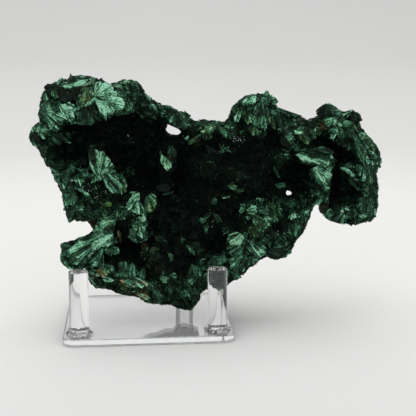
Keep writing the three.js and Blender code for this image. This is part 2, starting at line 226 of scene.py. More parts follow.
        (109, 101.5), (108.5, 97), (106, 95), (104.5, 97.5)]),
    "knob_low": (0.42, 0.55, 0, (5, 0), 2, (109, 97), [(106, 95), (110, 94.5), (113, 92.5),
        (111, 90.5), (108.5, 90.5), (106.5, 92.5)]),
    "knob_crown": (0.66, 0, 0, (0, 45), 2, (111, 111), [(103, 106.5), (106.5, 109), (109.5, 109.5),
        (112.5, 108), (115.5, 109), (116.5, 107.5), (111.5, 106.5), (106.5, 106)]),
    "knob_tip": (0.5, 0, 0, (10, 25), 2, (115.5, 104.5), [(114, 110.5), (116.5, 111), (118, 109),
        (117.5, 106), (115.5, 106), (115, 108.5)]),
    "knob_left": (0.35, 0.1, 0, (-20, 20), 1.6, None, [(98.5, 101.5), (100.5, 104), (102, 102.5),
        (101, 99.5), (99, 98)]),
    "knob_left_b": (0.68, 0, 0, (-5, 25), 2, (103.5, 103.5), [(100, 99), (102.5, 102.5),
        (103.5, 99.5), (102, 97), (100, 97)]),
    "knob_yellow": (0.72, 0.85, 0, (10, 20), 2, (117.5, 100), [(116.5, 99), (118, 99), (119.5, 96),
        (120, 93.5), (118, 94), (117, 96.5)]),
    "c_leaf_a": (0.45, 0.5, 0, None, 1.8, None, [(96.5, 65.5), (99, 67.5), (100.5, 66.5),
        (101, 63.5), (99, 63.5)]),
    "c_leaf_b": (0.32, 0.7, 0, None, 1.6, None, [(100, 62.5), (103.5, 64.5), (105.5, 62.5),
        (103.5, 61), (101, 61)]),
    "c_leaf_c": (0.55, 0, 0, None, 1.8, None, [(94.5, 58.5), (97.5, 59.5), (100.5, 60.5),
        (98.5, 58.5), (95.5, 58)]),
    "c_leaf_d": (0.4, 0.1, 0, None, 1.6, None, [(89, 56), (91, 59), (92, 57.5), (91.5, 54.5),
        (89.5, 55)]),
    "ring_b": (0.5, 0, 0, None, 1.8, None, [(85, 47.5), (86.5, 49.5), (88.5, 50.5), (88, 48.5),
        (86, 46.5)]),
    "ring_c": (0.52, 0, 0, None, 1.8, None, [(90, 50), (92.5, 49.5), (93.5, 47), (92, 45.5),
        (91, 48)]),
    "ring_d": (0.5, 0, 0, None, 1.8, None, [(85, 44), (87, 46), (88, 44), (87, 41.5), (85.5, 41.5)]),
    "r_clump_a": (0.62, 0, 0, None, 2, None, [(106, 53), (108.5, 56), (111, 55), (111.5, 52),
        (108.5, 50.5)]),
    "r_clump_b": (0.55, 0, 0, None, 1.8, None, [(111.5, 54.5), (115.5, 54.5), (118, 53), (116, 51),
        (112.5, 52)]),
    "r_clump_c": (0.5, 0.45, 0, None, 1.8, None, [(107.5, 51.5), (111.5, 51.5), (114.5, 49),
        (113.5, 46), (109.5, 46.5)]),
    "fan_b": (0.68, 0.25, 0, (0, 18), 2.4, (105.5, 43), [(97.5, 41), (100.5, 42), (103.5, 41),
        (105, 38.5), (103, 35), (98, 35.5), (96.5, 38)]),
    "fan_c": (0.46, 0.05, 0, (0, 8), 2, (106, 38), [(95.5, 35.5), (100.5, 36), (105.5, 35),
        (106.5, 32), (102.5, 29.5), (97.5, 30.5)]),
    "fan_d": (0.48, 0, 0, (5, 5), 1.8, (105.5, 33.5), [(96.5, 30), (101.5, 30.5), (105.5, 31.5),
        (105.5, 27.5), (102.5, 24.5), (98, 24), (97, 27)]),
    "fan_e": (0.55, 0.05, 0, (10, 12), 2, (105, 40.5), [(106, 39), (110.5, 39), (114.5, 35.5),
        (115.5, 32.5), (111, 30), (107, 33), (105.5, 36)]),
    "fan_f": (0.4, 0.8, 0, None, 1.6, None, [(107.5, 45.5), (111.5, 44.5), (113.5, 40.5),
        (108.5, 39.5), (106.5, 42.5)]),
    "r_low_knob": (0.26, 0, 0, None, 1.4, None, [(116.5, 33), (119.5, 34), (124, 33.5),
        (124.5, 30.5), (120.5, 29), (117.5, 30.5)]),
    "r_low_rim": (0.5, 0, 0, None, 2, None, [(119, 34.5), (121.5, 36), (124.5, 35), (122.5, 34)]),
    "peg_side": (0.44, 0, 0, None, 1.4, None, [(89, 30.5), (95.5, 31), (96.5, 28), (91.5, 27),
        (87.5, 27)]),
    "peg_low": (0.42, 0, 0, (10, 0), 1.4, None, [(97.5, 23.5), (101.5, 24), (102.5, 21), (99, 19.5)]),
    "tip_a": (0.42, 0.05, 0, None, 1.6, (79, 28.5), [(76.5, 22), (78.5, 26.5), (81.5, 25), (81, 22),
        (79, 20), (76.5, 20.5)]),
    "tip_b": (0.42, 0, 0, None, 1.6, (72.5, 22.5), [(72.5, 20.5), (75.5, 19), (78.5, 15.5),
        (78.5, 12.5), (75.5, 14.5), (73, 17.5)]),
    "tip_c": (0.36, 0, 0, None, 1.4, (80.5, 16), [(78.5, 13), (82.5, 13), (82, 8.5), (79.5, 6.5),
        (77, 9.5)]),
    "tip_d": (0.28, 0.1, 0, None, 1.2, (74.5, 9), [(70.5, 8.5), (74.5, 6.5), (79.5, 6), (78.5, 3.5),
        (73.5, 4)]),
    "tip_e": (0.52, 0.1, 0, None, 1.8, None, [(76, 35.5), (78, 35), (80.5, 31.5), (79.5, 30),
        (77, 33)]),
    "leaf_a": (0.32, 0, 0, None, 1.6, None, [(60, 39.5), (63, 40), (65.5, 38.5), (67, 36.5),
        (64, 36), (61, 37)]),
    "leaf_b": (0.36, 0, 0, None, 1.6, None, [(73.5, 39), (75.5, 38), (74.5, 35), (73, 36)]),
    "leaf_c": (0.42, 0.3, 0, None, 1.6, None, [(67, 31.5), (69, 31), (70, 28), (68, 27.5)]),
    "saddle": (0.5, 0, 0, (0, 40), 1.5, (119.5, 105), [(120, 103.5), (124, 103), (127.5, 101),
        (132.5, 99.5), (130.5, 98.5), (124.5, 100.5)]),
    "peak_l": (0.8, 0, 0, (-10, 35), 2, (142.5, 103), [(136, 100), (139, 102), (142, 102),
        (140.5, 99.5), (137.5, 99)]),
    "peak": (0.3, 0, 0, (5, 15), 1.6, (147, 106), [(142, 102.5), (145, 104.5), (147, 105),
        (149.5, 103), (152, 100), (147.5, 99.5), (143.5, 99)]),
    "peak_edge": (0.6, 0, 0, (-15, 35), 2.2, (147, 106), [(142.5, 103), (145, 105), (146.5, 105),
        (143.5, 102)]),
    "cap": (0.55, 0.3, 0, (0, 35), 1.6, (160, 100.5), [(155, 99.5), (158, 100.5), (159.5, 100),
        (158, 98.5), (155.5, 98.5)]),
    "cap_knob": (0.26, 0, 0, (15, 15), 1.6, (161, 102), [(159, 100), (161.5, 101), (163, 99.5),
        (163, 96), (161, 94.5), (159.5, 96)]),
    "crumble_a": (0.55, 0.05, 0.05, (0, 20), 2, (152.5, 99), [(144.5, 97), (148, 98.5), (151.5, 98),
        (151.5, 95), (148, 94), (145.5, 95)]),
    "crumble_b": (0.68, 0, 0, (0, 10), 2.2, (153, 96), [(149, 93), (152, 94), (152.5, 91.5),
        (150, 87.5), (148.5, 88.5)]),
    "olive_r": (0.48, 0.9, 0, (0, 10), 2, (132, 94), [(132.5, 92), (135.5, 92), (137.5, 88.5),
        (136.5, 85.5), (133.5, 87), (131.5, 89)]),
    "olive_top": (0.62, 0.3, 0, (0, 20), 2.2, None, [(129.5, 92.5), (132, 93.5), (133, 91.5),
        (131, 90.5), (129.5, 91)]),
    "ring_knob": (0.5, 0, 0, (15, 15), 2, (123, 88.5), [(121, 93), (124, 94.5), (127, 92.5),
        (129, 88), (129.5, 85), (127.5, 85.5), (125.5, 89), (123, 92)]),
    "ring_knob_low": (0.45, 0, 0, (0, 15), 2, None, [(123.5, 84), (126.5, 83), (129.5, 83),
        (126.5, 81.5), (123.5, 82.5)]),
    "ring_knob_face": (0.2, 0, 0, (0, 10), 1.6, None, [(122.5, 91), (126, 90), (128, 86),
        (125.5, 84.5), (122.5, 86)]),
    "grey_slab": (0.32, 0, 0, (0, 25), 1.8, (135, 81.5), [(137.5, 82.5), (142.5, 84), (147.5, 83.5),
        (150.5, 81), (146.5, 80.5), (141, 81.5)]),
    "small_a": (0.55, 0, 0, (0, 15), 1.8, None, [(147.5, 81.5), (149, 82), (149.5, 78),
        (147.5, 77.5)]),
    "small_b": (0.42, 0, 0, None, 1.6, None, [(151.5, 82.5), (153, 81.5), (153, 79), (151.5, 80)]),
    "fan_top": (0.66, 0.05, 0, (0, 28), 2.4, (128, 82), [(129.5, 80.5), (134, 81.5), (138, 80),
        (142, 79), (144, 76.5), (141, 76), (136, 77.5), (131.5, 78.5)]),
    "fan_mid": (0.58, 0.1, 0, (10, 20), 2, (138.5, 80), [(141.5, 78), (145, 78), (148, 77),
        (146.5, 75), (142, 75)]),
    "fan_main": (0.66, 0.1, 0, (15, 12), 2.4, (134, 80), [(139, 74), (142.5, 75.5), (147, 75.5),
        (148.5, 73.5), (148, 68.5), (146.5, 64), (145.5, 62), (143.5, 66), (141, 70)]),
    "fan_foot": (0.46, 0, 0, (5, 5), 1.8, (147.5, 62), [(139.5, 55.5), (143, 58), (145, 61),
        (146, 59), (145, 55.5), (143, 55), (139.5, 54)]),
    "fan_streak": (0.25, 0, 0, (-10, 0), 1.2, (131, 70), [(134, 68), (140, 66), (145, 64),
        (144, 62), (138, 64)]),
    "lobe_top": (0.46, 0.05, 0, (20, 20), 1.8, (155.5, 95), [(156, 92.5), (159.5, 92), (162.5, 88),
        (163.5, 86.5), (160, 87), (157.5, 89.5)]),
    "lobe_inner": (0.36, 0.1, 0, (0, 15), 1.4, (159.5, 89.5), [(154.5, 86.5), (157.5, 87),
        (161.5, 85.5), (161.5, 83), (157, 82.5), (154.5, 84)]),
    "lobe_face": (0.46, 0.1, 0, (15, 10), 1.8, (159, 89.5), [(160.5, 87), (164.5, 84.5),
        (166.5, 81), (168.5, 77), (169.5, 73), (166.5, 72.5), (163, 77.5), (161, 82.5)]),
    "lobe_line": (0.68, 0, 0, (20, 25), 2.6, (161, 88), [(162, 86), (165, 82.5), (167, 79),
        (168.5, 76), (166.5, 75.5), (164, 81)]),
    "lobe_edge_a": (0.56, 0.15, 0, (30, 25), 1.6, (163, 89.5), [(165, 87.5), (168.5, 85),
        (169.5, 83), (165.5, 83.5)]),
    "lobe_edge_b": (0.55, 0, 0, (35, 20), 1.6, (165, 83.5), [(167, 82.5), (171.5, 80.5),
        (174.5, 78.5), (171.5, 77), (168.5, 78.5)]),
    "lobe_low": (0.46, 0.2, 0, (15, 5), 1.8, (166, 82.5), [(161, 76), (166, 73.5), (170, 72),
        (169.5, 66), (166, 65.5), (163, 68.5), (161.5, 72.5)]),
    "spar": (0.88, 0, 0, (0, 35), 2.8, (152, 74), [(153.5, 73), (156.5, 73.5), (159, 72),
        (161, 69.5), (158.5, 69), (156, 71)]),
    "spar_low": (0.42, 0.1, 0, (0, 10), 1.6, (157, 70.5), [(158, 67.5), (162.5, 66.5),
        (165.5, 63.5), (164.5, 60.5), (161.5, 63), (158.5, 65.5)]),
    "bits": (0.52, 0, 0, None, 1.8, None, [(160, 74), (162.5, 75), (164, 73.5), (162, 72)]),
    "lobe_b_a": (0.4, 0, 0, (20, 0), 1.4, (165, 62.5), [(162.5, 59), (167, 59), (169.5, 55),
        (169, 51), (164, 50.5), (161.5, 55)]),
    "lobe_b_b": (0.46, 0, 0, (0, 5), 1.6, (156.5, 53), [(150, 47.5), (152.5, 51), (155.5, 50),
        (158.5, 49), (156.5, 46.5), (152.5, 45.5)]),
    "lobe_b_c": (0.34, 0.1, 0, (10, 0), 1.4, (162, 52), [(156.5, 46), (161, 48), (165.5, 48.5),
        (163, 45.5), (159, 45)]),
    "lobe_b_olive": (0.22, 0.95, 0.2, None, 1.4, None, [(145, 54), (149.5, 54), (150.5, 50.5),
        (147, 48.5), (145, 49.5)]),
    "lobe_b_d": (0.28, 0, 0, None, 1.4, None, [(151, 54), (154, 54.5), (156, 51.5), (153, 50),
        (150.5, 51)]),
    "right_low_edge": (0.5, 0, 0, (20, 10), 1.6, (134.5, 49), [(132, 46), (135, 46.5), (133.5, 41),
        (131.5, 38.5), (130.5, 42.5)]),
    "hole_rim": (0.45, 0, 0, None, 1.6, None, [(122.5, 64), (126.5, 65), (129, 64), (127, 62.5),
        (123.5, 62)]),
    "rim_strip": (0.38, 0, 0, None, 1.8, None, [(120.5, 75), (122.5, 72), (124, 69), (123, 68.5),
        (120.5, 72)]),
}
# Smaller sprays of fibre on the front: (across, up, heading, length), with the heading in
# degrees anticlockwise from +X, grouped by how pale they are.
FRONT_FANS = {
    "mint": [
        (42, 108, -60, 11), (37, 113, -95, 8), (37, 105, -105, 7), (22, 106, -25, 9),
        (30, 108, -10, 6), (22, 113, -30, 5), (35, 76, -50, 15), (40, 71, -52, 12),
        (31, 79, -72, 10), (33, 42, -135, 15), (30, 38, -152, 13), (136, 78, -14, 10),
        (142, 72, -45, 15), (169, 81, -48, 7), (103, 40, -20, 9), (151, 90, -115, 7),
    ],
    "pale": [
        (14, 103, -60, 10), (10, 98, -80, 9), (15, 97, -58, 9), (38, 47, -135, 12),
        (24, 37, -165, 11), (32, 31, -60, 7), (146, 64, -66, 11), (158, 73, -60, 7),
        (164, 85, -60, 9), (166, 77, -82, 8), (166, 70, -95, 8), (100, 41, -60, 7),
        (114, 52, -30, 10), (52, 46, -95, 7), (50, 57, -100, 7), (56, 53, -115, 6),
        (43, 66, -50, 7), (139, 100, 20, 6), (153, 92, -70, 6), (109, 105, -120, 7),
        (65, 101, -30, 5), (127, 64, -20, 5), (35, 37, -100, 7), (152, 96, -20, 6),
        (157, 95, -45, 6), (111, 55, -75, 6), (94, 95, 5, 7),
    ],
    "mid": [
        (16, 91, -36, 11), (11, 89, -42, 9), (5, 92, -115, 7), (29, 102, -90, 7),
        (44, 112, -70, 6), (52, 110, -20, 7), (59, 105, -40, 6), (50, 108, -70, 5),
        (23, 78, -150, 7), (26, 75, -120, 6), (32, 67, -60, 6), (22, 62, -100, 6),
        (114, 108, -60, 6), (116, 104, -80, 6), (102, 101, -75, 6), (119, 99, -55, 6),
        (148, 98, -90, 6), (160, 89, -45, 7), (165, 64, -80, 7), (170, 64, -90, 6),
        (166, 55, -110, 8), (160, 51, -95, 7), (154, 50, -100, 7), (145, 58, -90, 6),
        (143, 54, -125, 6), (108, 38, -50, 7), (105, 33, -30, 7), (110, 43, -30, 6),
        (114, 47, -60, 6), (123, 56, -80, 6), (125, 63, -150, 5), (19, 38, -175, 7),
        (22, 33, -150, 6), (45, 24, -45, 7), (40, 21, -20, 6), (58, 15, -50, 6),
        (60, 18, -60, 6), (53, 21, -40, 6), (78, 16, -60, 7), (81, 9, -100, 6),
        (72, 9, -80, 6), (90, 29, -20, 7), (83, 26, -40, 6), (96, 27, -30, 6),
        (129, 43, -60, 6), (134, 50, -110, 6), (117, 38, -140, 7), (125, 39, -50, 6),
        (52, 51, -60, 5), (82, 95, -10, 6), (75, 96, -25, 6), (32, 54, -30, 7),
        (91, 48, 100, 5), (86, 46, 150, 5), (17, 57, -100, 7), (127, 53, -40, 6),
        (66, 79, -100, 5), (17, 69, -110, 5),
    ],
    "dim": [
        (15, 112, -60, 9), (8, 86, -60, 6), (15, 76, -50, 6), (19, 66, -80, 6),
        (28, 58, -70, 7), (40, 56, -30, 6), (24, 52, -50, 6), (22, 117, -80, 4),
        (48, 115, -80, 6), (55, 107, -40, 6), (125, 101, -30, 6), (133, 98, -20, 7),
        (112, 100, -85, 8), (111, 94, -90, 5), (147, 102, -90, 6), (161, 98, -80, 4),
        (157, 85, -60, 6), (149, 81, -10, 8), (151, 51, -80, 6), (121, 33, -60, 7),
        (132, 46, -70, 6), (65, 12, -80, 6), (75, 7, -80, 5), (38, 18, -30, 6),
        (32, 20, -40, 6), (51, 36, -100, 6), (103, 71, -60, 8), (86, 75, -50, 9),
        (66, 66, -60, 6), (96, 59, 20, 7), (79, 34, -60, 7), (158, 56, -60, 6),
        (140, 78, -10, 7), (124, 74, -80, 6), (107, 62, -30, 6), (101, 64, -20, 6),
    ],
    "olive": [
        (88, 92, 8, 11), (106, 99, -92, 9), (59, 58, -60, 7), (36, 59, -20, 5),
        (135, 89, -70, 6), (31, 111, -120, 6), (28, 112, -140, 4), (132, 93, -30, 4),
        (31, 81, -80, 5), (64, 78, -95, 6), (46, 65, -80, 4), (122, 96, -60, 4),
        (101, 65, -10, 4), (8, 86, -90, 4), (147, 53, -80, 5),
    ],
    "rust": [
        (35, 25, -30, 6), (50, 18, -30, 7), (46, 20, -20, 5), (56, 17, -50, 5),
        (29, 44, -90, 4), (42, 43, -70, 5), (31, 21, -20, 4), (55, 13, -50, 5),
        (56, 33, -80, 5), (31, 115, -120, 3), (145, 94, -20, 4),
    ],
}
# How pale, how yellow and how rusty each kind is, from 0 to 1.
KINDS = {
    "mint": (0.8, 0.0, 0.0),
    "pale": (0.62, 0.05, 0.0),
    "mid": (0.45, 0.08, 0.0),
    "dim": (0.28, 0.05, 0.0),
    "olive": (0.42, 0.5, 0.05),
    "rust": (0.5, 0.2, 1.0),
}
# The parts of the front lined with black-green velvet: (across, up, half-width,
# half-height), in millimetres from the box's low corner.
VELVET = [
    (46, 88, 25, 13), (60, 76, 11, 18), (18, 84, 9, 4), (84, 52, 18, 17), (95, 74, 26, 16),
    (132, 68, 9, 11), (153, 66, 5, 12), (157, 79, 6, 5), (121, 88, 7, 7), (38, 32, 12, 4),
    (44, 45, 5, 6), (73, 30, 9, 10), (112, 68, 14, 12), (70, 50, 14, 16), (62, 60, 10, 12),
    (30, 66, 8, 5), (108, 84, 12, 8), (84, 84, 16, 8),
]
# The small holes right through it: a point on the axis (across, up) midway between the
# stand's front and back, the axis's degrees of turn to +X and of rise, and the radius.
THROUGH_HOLES = [(70.6, 91.4, 3, -5, 5.2), (129.6, 58.9, 10, -9, 3.2)]
# Where small bright crystals sparkle: (across, up, spread, how many).
SPARKLES = [
    (74, 96, 5, 34), (102, 88, 3, 50), (33, 63, 5, 30), (19, 75, 4, 22), (48, 88, 1.5, 2),
    (51, 86, 1, 2), (26, 68, 4, 14), (122, 40, 5, 14), (16, 56, 5, 14), (128, 26, 4, 10),
    (130, 90, 4, 10), (90, 47, 5, 16), (112, 60, 6, 12), (150, 90, 8, 12), (36, 40, 10, 16),
    (48, 60, 4, 12), (28, 64, 3, 12), (96, 92, 5, 8),
]

# ------------------------------------------------------------------------- mesh helpers


def new_object(name, mesh):
    """An object for a mesh, in the scene."""
    obj = bpy.data.objects.new(name, mesh)
    bpy.context.scene.collection.objects.link(obj)
    return obj


def evaluated_mesh(obj):
    """A plain mesh of an object with its modifiers applied."""
    evaluated = obj.evaluated_get(bpy.context.evaluated_depsgraph_get())
    return bpy.data.meshes.new_from_object(evaluated)


def corners_of(mesh):
    """A mesh's vertices as an array of rows."""
    flat = np.empty(len(mesh.vertices) * 3)
    mesh.vertices.foreach_get("co", flat)
    return flat.reshape(-1, 3)


def edges_of(mesh):
    """A mesh's edges as an array of vertex pairs."""
    flat = np.empty(len(mesh.edges) * 2, dtype=np.int64)
    mesh.edges.foreach_get("vertices", flat)
    return flat.reshape(-1, 2)


def neighbour_mean(points, edges, counts):
    """The mean of each vertex's neighbours."""
    ends = np.concatenate([edges[:, 0], edges[:, 1]])
    others = np.concatenate([edges[:, 1], edges[:, 0]])
    columns = points.reshape(len(points), -1).T
    sums = [np.bincount(ends, column[others], len(points)) for column in columns]
    return (np.stack(sums, 1) / counts[:, None]).reshape(points.shape)


def unit(vectors):
    """Vectors scaled to length 1."""
    return vectors / (np.linalg.norm(vectors, axis=-1, keepdims=True) + 1e-12)


def normals_of(mesh, points):
    """The vertex normals that a mesh of quads has with its vertices at points."""
    quads = np.empty(len(mesh.loops), dtype=np.int64)
    mesh.loops.foreach_get("vertex_index", quads)
    quads = quads.reshape(-1, 4)
    a, b, c, d = (points[quads[:, k]] for k in range(4))
    facing = np.cross(c - a, d - b)
    total = np.zeros_like(points)
    for k in range(4):
        for axis in range(3):
            total[:, axis] += np.bincount(quads[:, k], facing[:, axis], len(points))
    return unit(total)


def sampled(function, points):
    """A noise function's value at each point."""
    shape = points.shape[:-1]
    return np.array([function(Vector(point)) for point in points.reshape(-1, 3)]).reshape(shape)


def write_attribute(mesh, name, values):
    """A float at each vertex, for the material to read."""
    attribute = mesh.attributes.new(name, "FLOAT", "POINT")
    attribute.data.foreach_set("value", np.asarray(values, dtype=np.float32))


def search_tree(mesh, points):
    """A tree that finds the nearest surface to a point, and where a ray meets it."""
    polygons = [tuple(polygon.vertices) for polygon in mesh.polygons]
    return BVHTree.FromPolygons([Vector(point) for point in points], polygons)


class Gather:
    """Many small closed forms, gathered into one mesh."""

    def __init__(self):
        self.points, self.faces, self.tints, self.count = [], [], [], 0

    def add(self, points, faces, tints):
        """Adds a form: its points, its faces as arrays of indices, and its tints.

        An array of two dimensions holds a face in each row, and one of one is one face.
        """
        self.points.append(points)
        for block in faces:
            rows = (block + self.count).tolist()
            self.faces.extend(rows if block.ndim == 2 else [rows])
        self.tints.append(tints)
        self.count += len(points)

    def build(self, name, material):
        """The gathered mesh as a piece of the specimen."""
        mesh = bpy.data.meshes.new(name)
        mesh.from_pydata(np.concatenate(self.points).tolist(), [], self.faces)
        mesh.update()
        tints = np.concatenate(self.tints)
        for column, attribute in enumerate(("pale", "yellow", "rust")):
            write_attribute(mesh, attribute, np.clip(tints[:, column], 0, 1))
        for column, attribute in enumerate(("strand", "along"), 3):
            write_attribute(mesh, attribute, tints[:, column])
        mesh.materials.append(material)
        piece = new_object(name, mesh)
        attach(piece, "root")
        return piece


# ------------------------------------------------------------------- the specimen's body
VOXEL = 0.85 * MM
SMOOTHING_ROUNDS = 12
# A rate is how many cells of noise there are in a metre.
VELVET_RATE, VELVET_WOBBLE = 160.0, 0.35
VELVET_EDGE, VELVET_FADE = 1.15, 0.3
VELVET_BACK, VELVET_DEPTH_FADE = 0.012, 0.006  # metres behind the middle
CRAG_RATE, CRAG_FALLOFF, CRAG_LACUNARITY = 120.0, 0.9, 2.2
# Painted shade in hollows and painted light on lumps: how far the surface is smoothed to find them, and how
# strongly they set the paleness.
HOLLOW_SHADE_ROUNDS = 60
HOLLOW_SHADE_BY_HUMP, HOLLOW_SHADE_BY_CRAG, HOLLOW_SHADE_LEAST, HOLLOW_SHADE_MOST = 1.1, 0.9, 0.12, 1.6


def smooth_body():
    """The CAD mass as an even mesh of small quads, with its facets worn away."""
    source = frame["nodes"]["malachite"]
    body = new_object("malachite_body", source.data.copy())
    remesh = body.modifiers.new("even", "REMESH")
    remesh.mode = "VOXEL"
    remesh.voxel_size = VOXEL
    mesh = evaluated_mesh(body)
    body.modifiers.clear()
    body.data = mesh
    points, edges = corners_of(mesh), edges_of(mesh)
    counts = np.bincount(edges.ravel(), minlength=len(points)).astype(float)
    for _ in range(SMOOTHING_ROUNDS):
        points = neighbour_mean(points, edges, counts)
    return body, points, edges, counts


def velvet_mask(points):
    """How far each point lies inside the velvet parts of the front, from 0 to 1."""
    inside = np.zeros(len(points))
    across = (points[:, 0] - STONE_LOW[0]) / MM
    up = (points[:, 2] - STONE_LOW[2]) / MM
    wobble = sampled(lambda p: noise.noise(p * VELVET_RATE), points) * VELVET_WOBBLE
    for x, z, half_x, half_z in VELVET:
        reach = np.hypot((across - x) / half_x, (up - z) / half_z) + wobble
        inside = np.maximum(inside, np.clip((VELVET_EDGE - reach) / VELVET_FADE, 0, 1))
    front = np.clip((VELVET_BACK + STONE_MIDDLE[1] - points[:, 1]) / VELVET_DEPTH_FADE, 0, 1)
    return inside * front


def hollow_shade_and_lump_light(points, edges, counts, normals):
    """Painted shade and light from the surface's shape, as a factor on paleness: under 1 in hollows
    (painted shade) and over 1 on lumps (painted light), with random craggy tone added.
    """
    crag = sampled(lambda p: noise.fractal(p * CRAG_RATE, CRAG_FALLOFF, CRAG_LACUNARITY, 2), points)
    even = points
    for _ in range(HOLLOW_SHADE_ROUNDS):
        even = neighbour_mean(even, edges, counts)
    hump = np.sum((points - even) * normals, axis=1) / MM
    return np.clip(1 + HOLLOW_SHADE_BY_HUMP * hump + HOLLOW_SHADE_BY_CRAG * crag, HOLLOW_SHADE_LEAST, HOLLOW_SHADE_MOST)


def hole_clearance(points):
    """How far each point is from the edge of the nearest through-hole, in millimetres."""
    nearest = np.full(len(points), np.inf)
    for across, up, turn, rise, radius in THROUGH_HOLES:
        turn, rise = math.radians(turn), math.radians(rise)
        start = np.array([STONE_LOW[0] + across * MM, 0.0, STONE_LOW[2] + up * MM])
        level = math.cos(rise)
        axis = np.array([math.sin(turn) * level, math.cos(turn) * level, math.sin(rise)])
        offset = points - start
        offset = offset - (offset @ axis)[:, None] * axis
        nearest = np.minimum(nearest, np.linalg.norm(offset, axis=1) / MM - radius)
    return nearest


VIEW_START = 0.05  # metres in front of the box


def front_point(tree, across, up):
    """Where the specimen's front surface is, seen straight from the front."""
    ahead = STONE_LOW[1] - VIEW_START
    start = Vector((STONE_LOW[0] + across * MM, ahead, STONE_LOW[2] + up * MM))
    return tree.ray_cast(start, Vector((0, 1, 0)))


# Each fan is one row: centre (3), heading (3), normal (3), length, and its three tints.
# A plain length here is in millimetres.
FILL_SPACING = 3.4 * MM
FILL_TRIES = 20000
FILL_LENGTH = (2.8, 6.5)
FILL_TURN, FILL_DROP = 0.9, -0.6
PATCH_RATE, SALLOW_RATE = 75.0, 60.0
HOLE_MARGIN, SPRAY_HOLE_MARGIN = 2.0, 1.5
FOOT_MARGIN, COVER_DEPTH = 1.5, 2.5
KIN_REACH, KIN_FALL, SHARE_FALL = 3, 2.5, 0.5
PALE_BASE, PALE_PATCH, PALE_KIN, PALE_SPREAD = 0.22, 0.4, 0.8, 0.07
PALE_LEAST, PALE_MOST, VELVET_PALE = 0.04, 0.65, (0.02, 0.16)
YELLOW_TINGE, YELLOW_MOST, YELLOW_KIN, RUST_KIN = 0.5, 0.4, 0.6, 0.7
CHUNK = 4000  # how many points are compared with every fan at once


def plate_rows():
    """The middle, size and tints of each large plate, as fans."""
    rows = []
    for pale, yellow, rust, _, out, _, outline in PLATES.values():
        corners = np.array(outline, dtype=float)
        across, up = corners.mean(axis=0)
        centre, normal, _, _ = front_point(body_tree, across, up)
        if centre is None:
            continue
        size = np.ptp(corners, axis=0).mean() * MM
        rows.append([*centre, 0, 0, -1, *normal, size, pale, yellow, rust])
    return rows


def within(outline, across, up):
    """Whether a place on the front is inside an outline."""
    inside = False
    for (x0, z0), (x1, z1) in zip(outline, [*outline[1:], outline[0]]):
        if (z0 > up) != (z1 > up) and across < x0 + (up - z0) * (x1 - x0) / (z1 - z0):
            inside = not inside
    return inside


def covered(across, up):
    """Whether a place on the front lies under one of the plates."""
    return any(within(outline, across, up) for *_, outline in PLATES.values())


def spray_rows():
    """The smaller sprays on the front that no plate covers."""
    sprays = []
    for kind, fans in FRONT_FANS.items():
        for across, up, heading, length in fans:
            centre, normal, _, _ = front_point(body_tree, across, up)
            if centre is None or covered(across, up):
                continue
            if hole_clearance(np.array([centre]))[0] < SPRAY_HOLE_MARGIN:
                continue
            angle = math.radians(heading)
            flat = Vector((math.cos(angle), 0, math.sin(angle)))
            along = (flat - normal * flat.dot(normal)).normalized()
            sprays.append([*centre, *along, *normal, length * MM * 0.8, *KINDS[kind]])
    return sprays


def fill_rows(points, normals, velvet, clearance, swell, rows):
    """Small sprays that cover the rest of the surface, sides and back included."""
    placed = np.array(rows)
    taken, reach = placed[:, :3], np.minimum(placed[:, 9] * 0.3, 2 * MM)
    fills = []
    order = rng.permutation(len(points))[:FILL_TRIES]
    patches = sampled(lambda p: noise.fractal(p * PATCH_RATE + Vector((3, 1, 7)), 0.9, 2.1, 2),
                      points[order])
    sallow = sampled(lambda p: noise.noise(p * SALLOW_RATE + Vector((9, 2, 4))), points[order])
    for index, patch, tinge in zip(order, patches, sallow):
        point, normal, dark = points[index], normals[index], velvet[index]
        gap = np.linalg.norm(taken - point, axis=1) - reach
        if gap.min() < FILL_SPACING * 0.5 or clearance[index] < HOLE_MARGIN:
            continue
        if point[2] < STONE_LOW[2] + FOOT_MARGIN * MM:
            continue
        if dark > 0.5 and rng.random() < 0.5:
            continue
        across, up = (point[0] - STONE_LOW[0]) / MM, (point[2] - STONE_LOW[2]) / MM
        if normal[1] < 0.3 and covered(across, up):
            seen = front_point(body_tree, across, up)[0]
            if seen is not None and seen.y > point[1] - COVER_DEPTH * MM:
                continue
        distance = np.linalg.norm(placed[:, :3] - point, axis=1) / (placed[:, 9] + KIN_REACH * MM)
        weights = np.exp(-KIN_FALL * distance) + 1e-9
        kin = (weights @ placed[:, 10:13]) / weights.sum()
        share = math.exp(-SHARE_FALL * distance.min() ** 2)
        down = np.array([rng.normal(0, FILL_TURN), rng.normal(0, FILL_TURN), FILL_DROP])
        along = unit(down - normal * np.dot(down, normal))
        own = (PALE_BASE + PALE_PATCH * patch) * (1 - share)
        pale = own + kin[0] * PALE_KIN * share + rng.normal(0, PALE_SPREAD)
        # Painted shade and light: the spray is painted darker in a hollow and paler on a lump.
        pale *= swell[index]
        pale = np.clip(pale, PALE_LEAST, PALE_MOST) * (1 - dark) + dark * rng.uniform(*VELVET_PALE)
        yellow = np.clip(YELLOW_TINGE * tinge, 0, YELLOW_MOST) + kin[1] * YELLOW_KIN * share
        length = rng.uniform(*FILL_LENGTH) * MM
        tints = (pale, yellow * (1 - dark), kin[2] * share * RUST_KIN)
        fills.append([*point, *along, *normal, length, *tints])
        taken = np.vstack([taken, point])
        reach = np.append(reach, length * 0.35)
    return fills


def nearest_fan(points, fans):
    """Which fan each point belongs to, and how far it is from it in fan lengths."""
    owner = np.zeros(len(points), dtype=np.int64)
    reach = np.zeros(len(points))
    for start in range(0, len(points), CHUNK):
        part = points[start:start + CHUNK]
        gap = np.linalg.norm(part[:, None] - fans[None, :, :3], axis=2) / fans[None, :, 9]
        first = np.argmin(gap, axis=1)
        owner[start:start + CHUNK] = first
        reach[start:start + CHUNK] = gap[np.arange(len(part)), first]
    return owner, reach


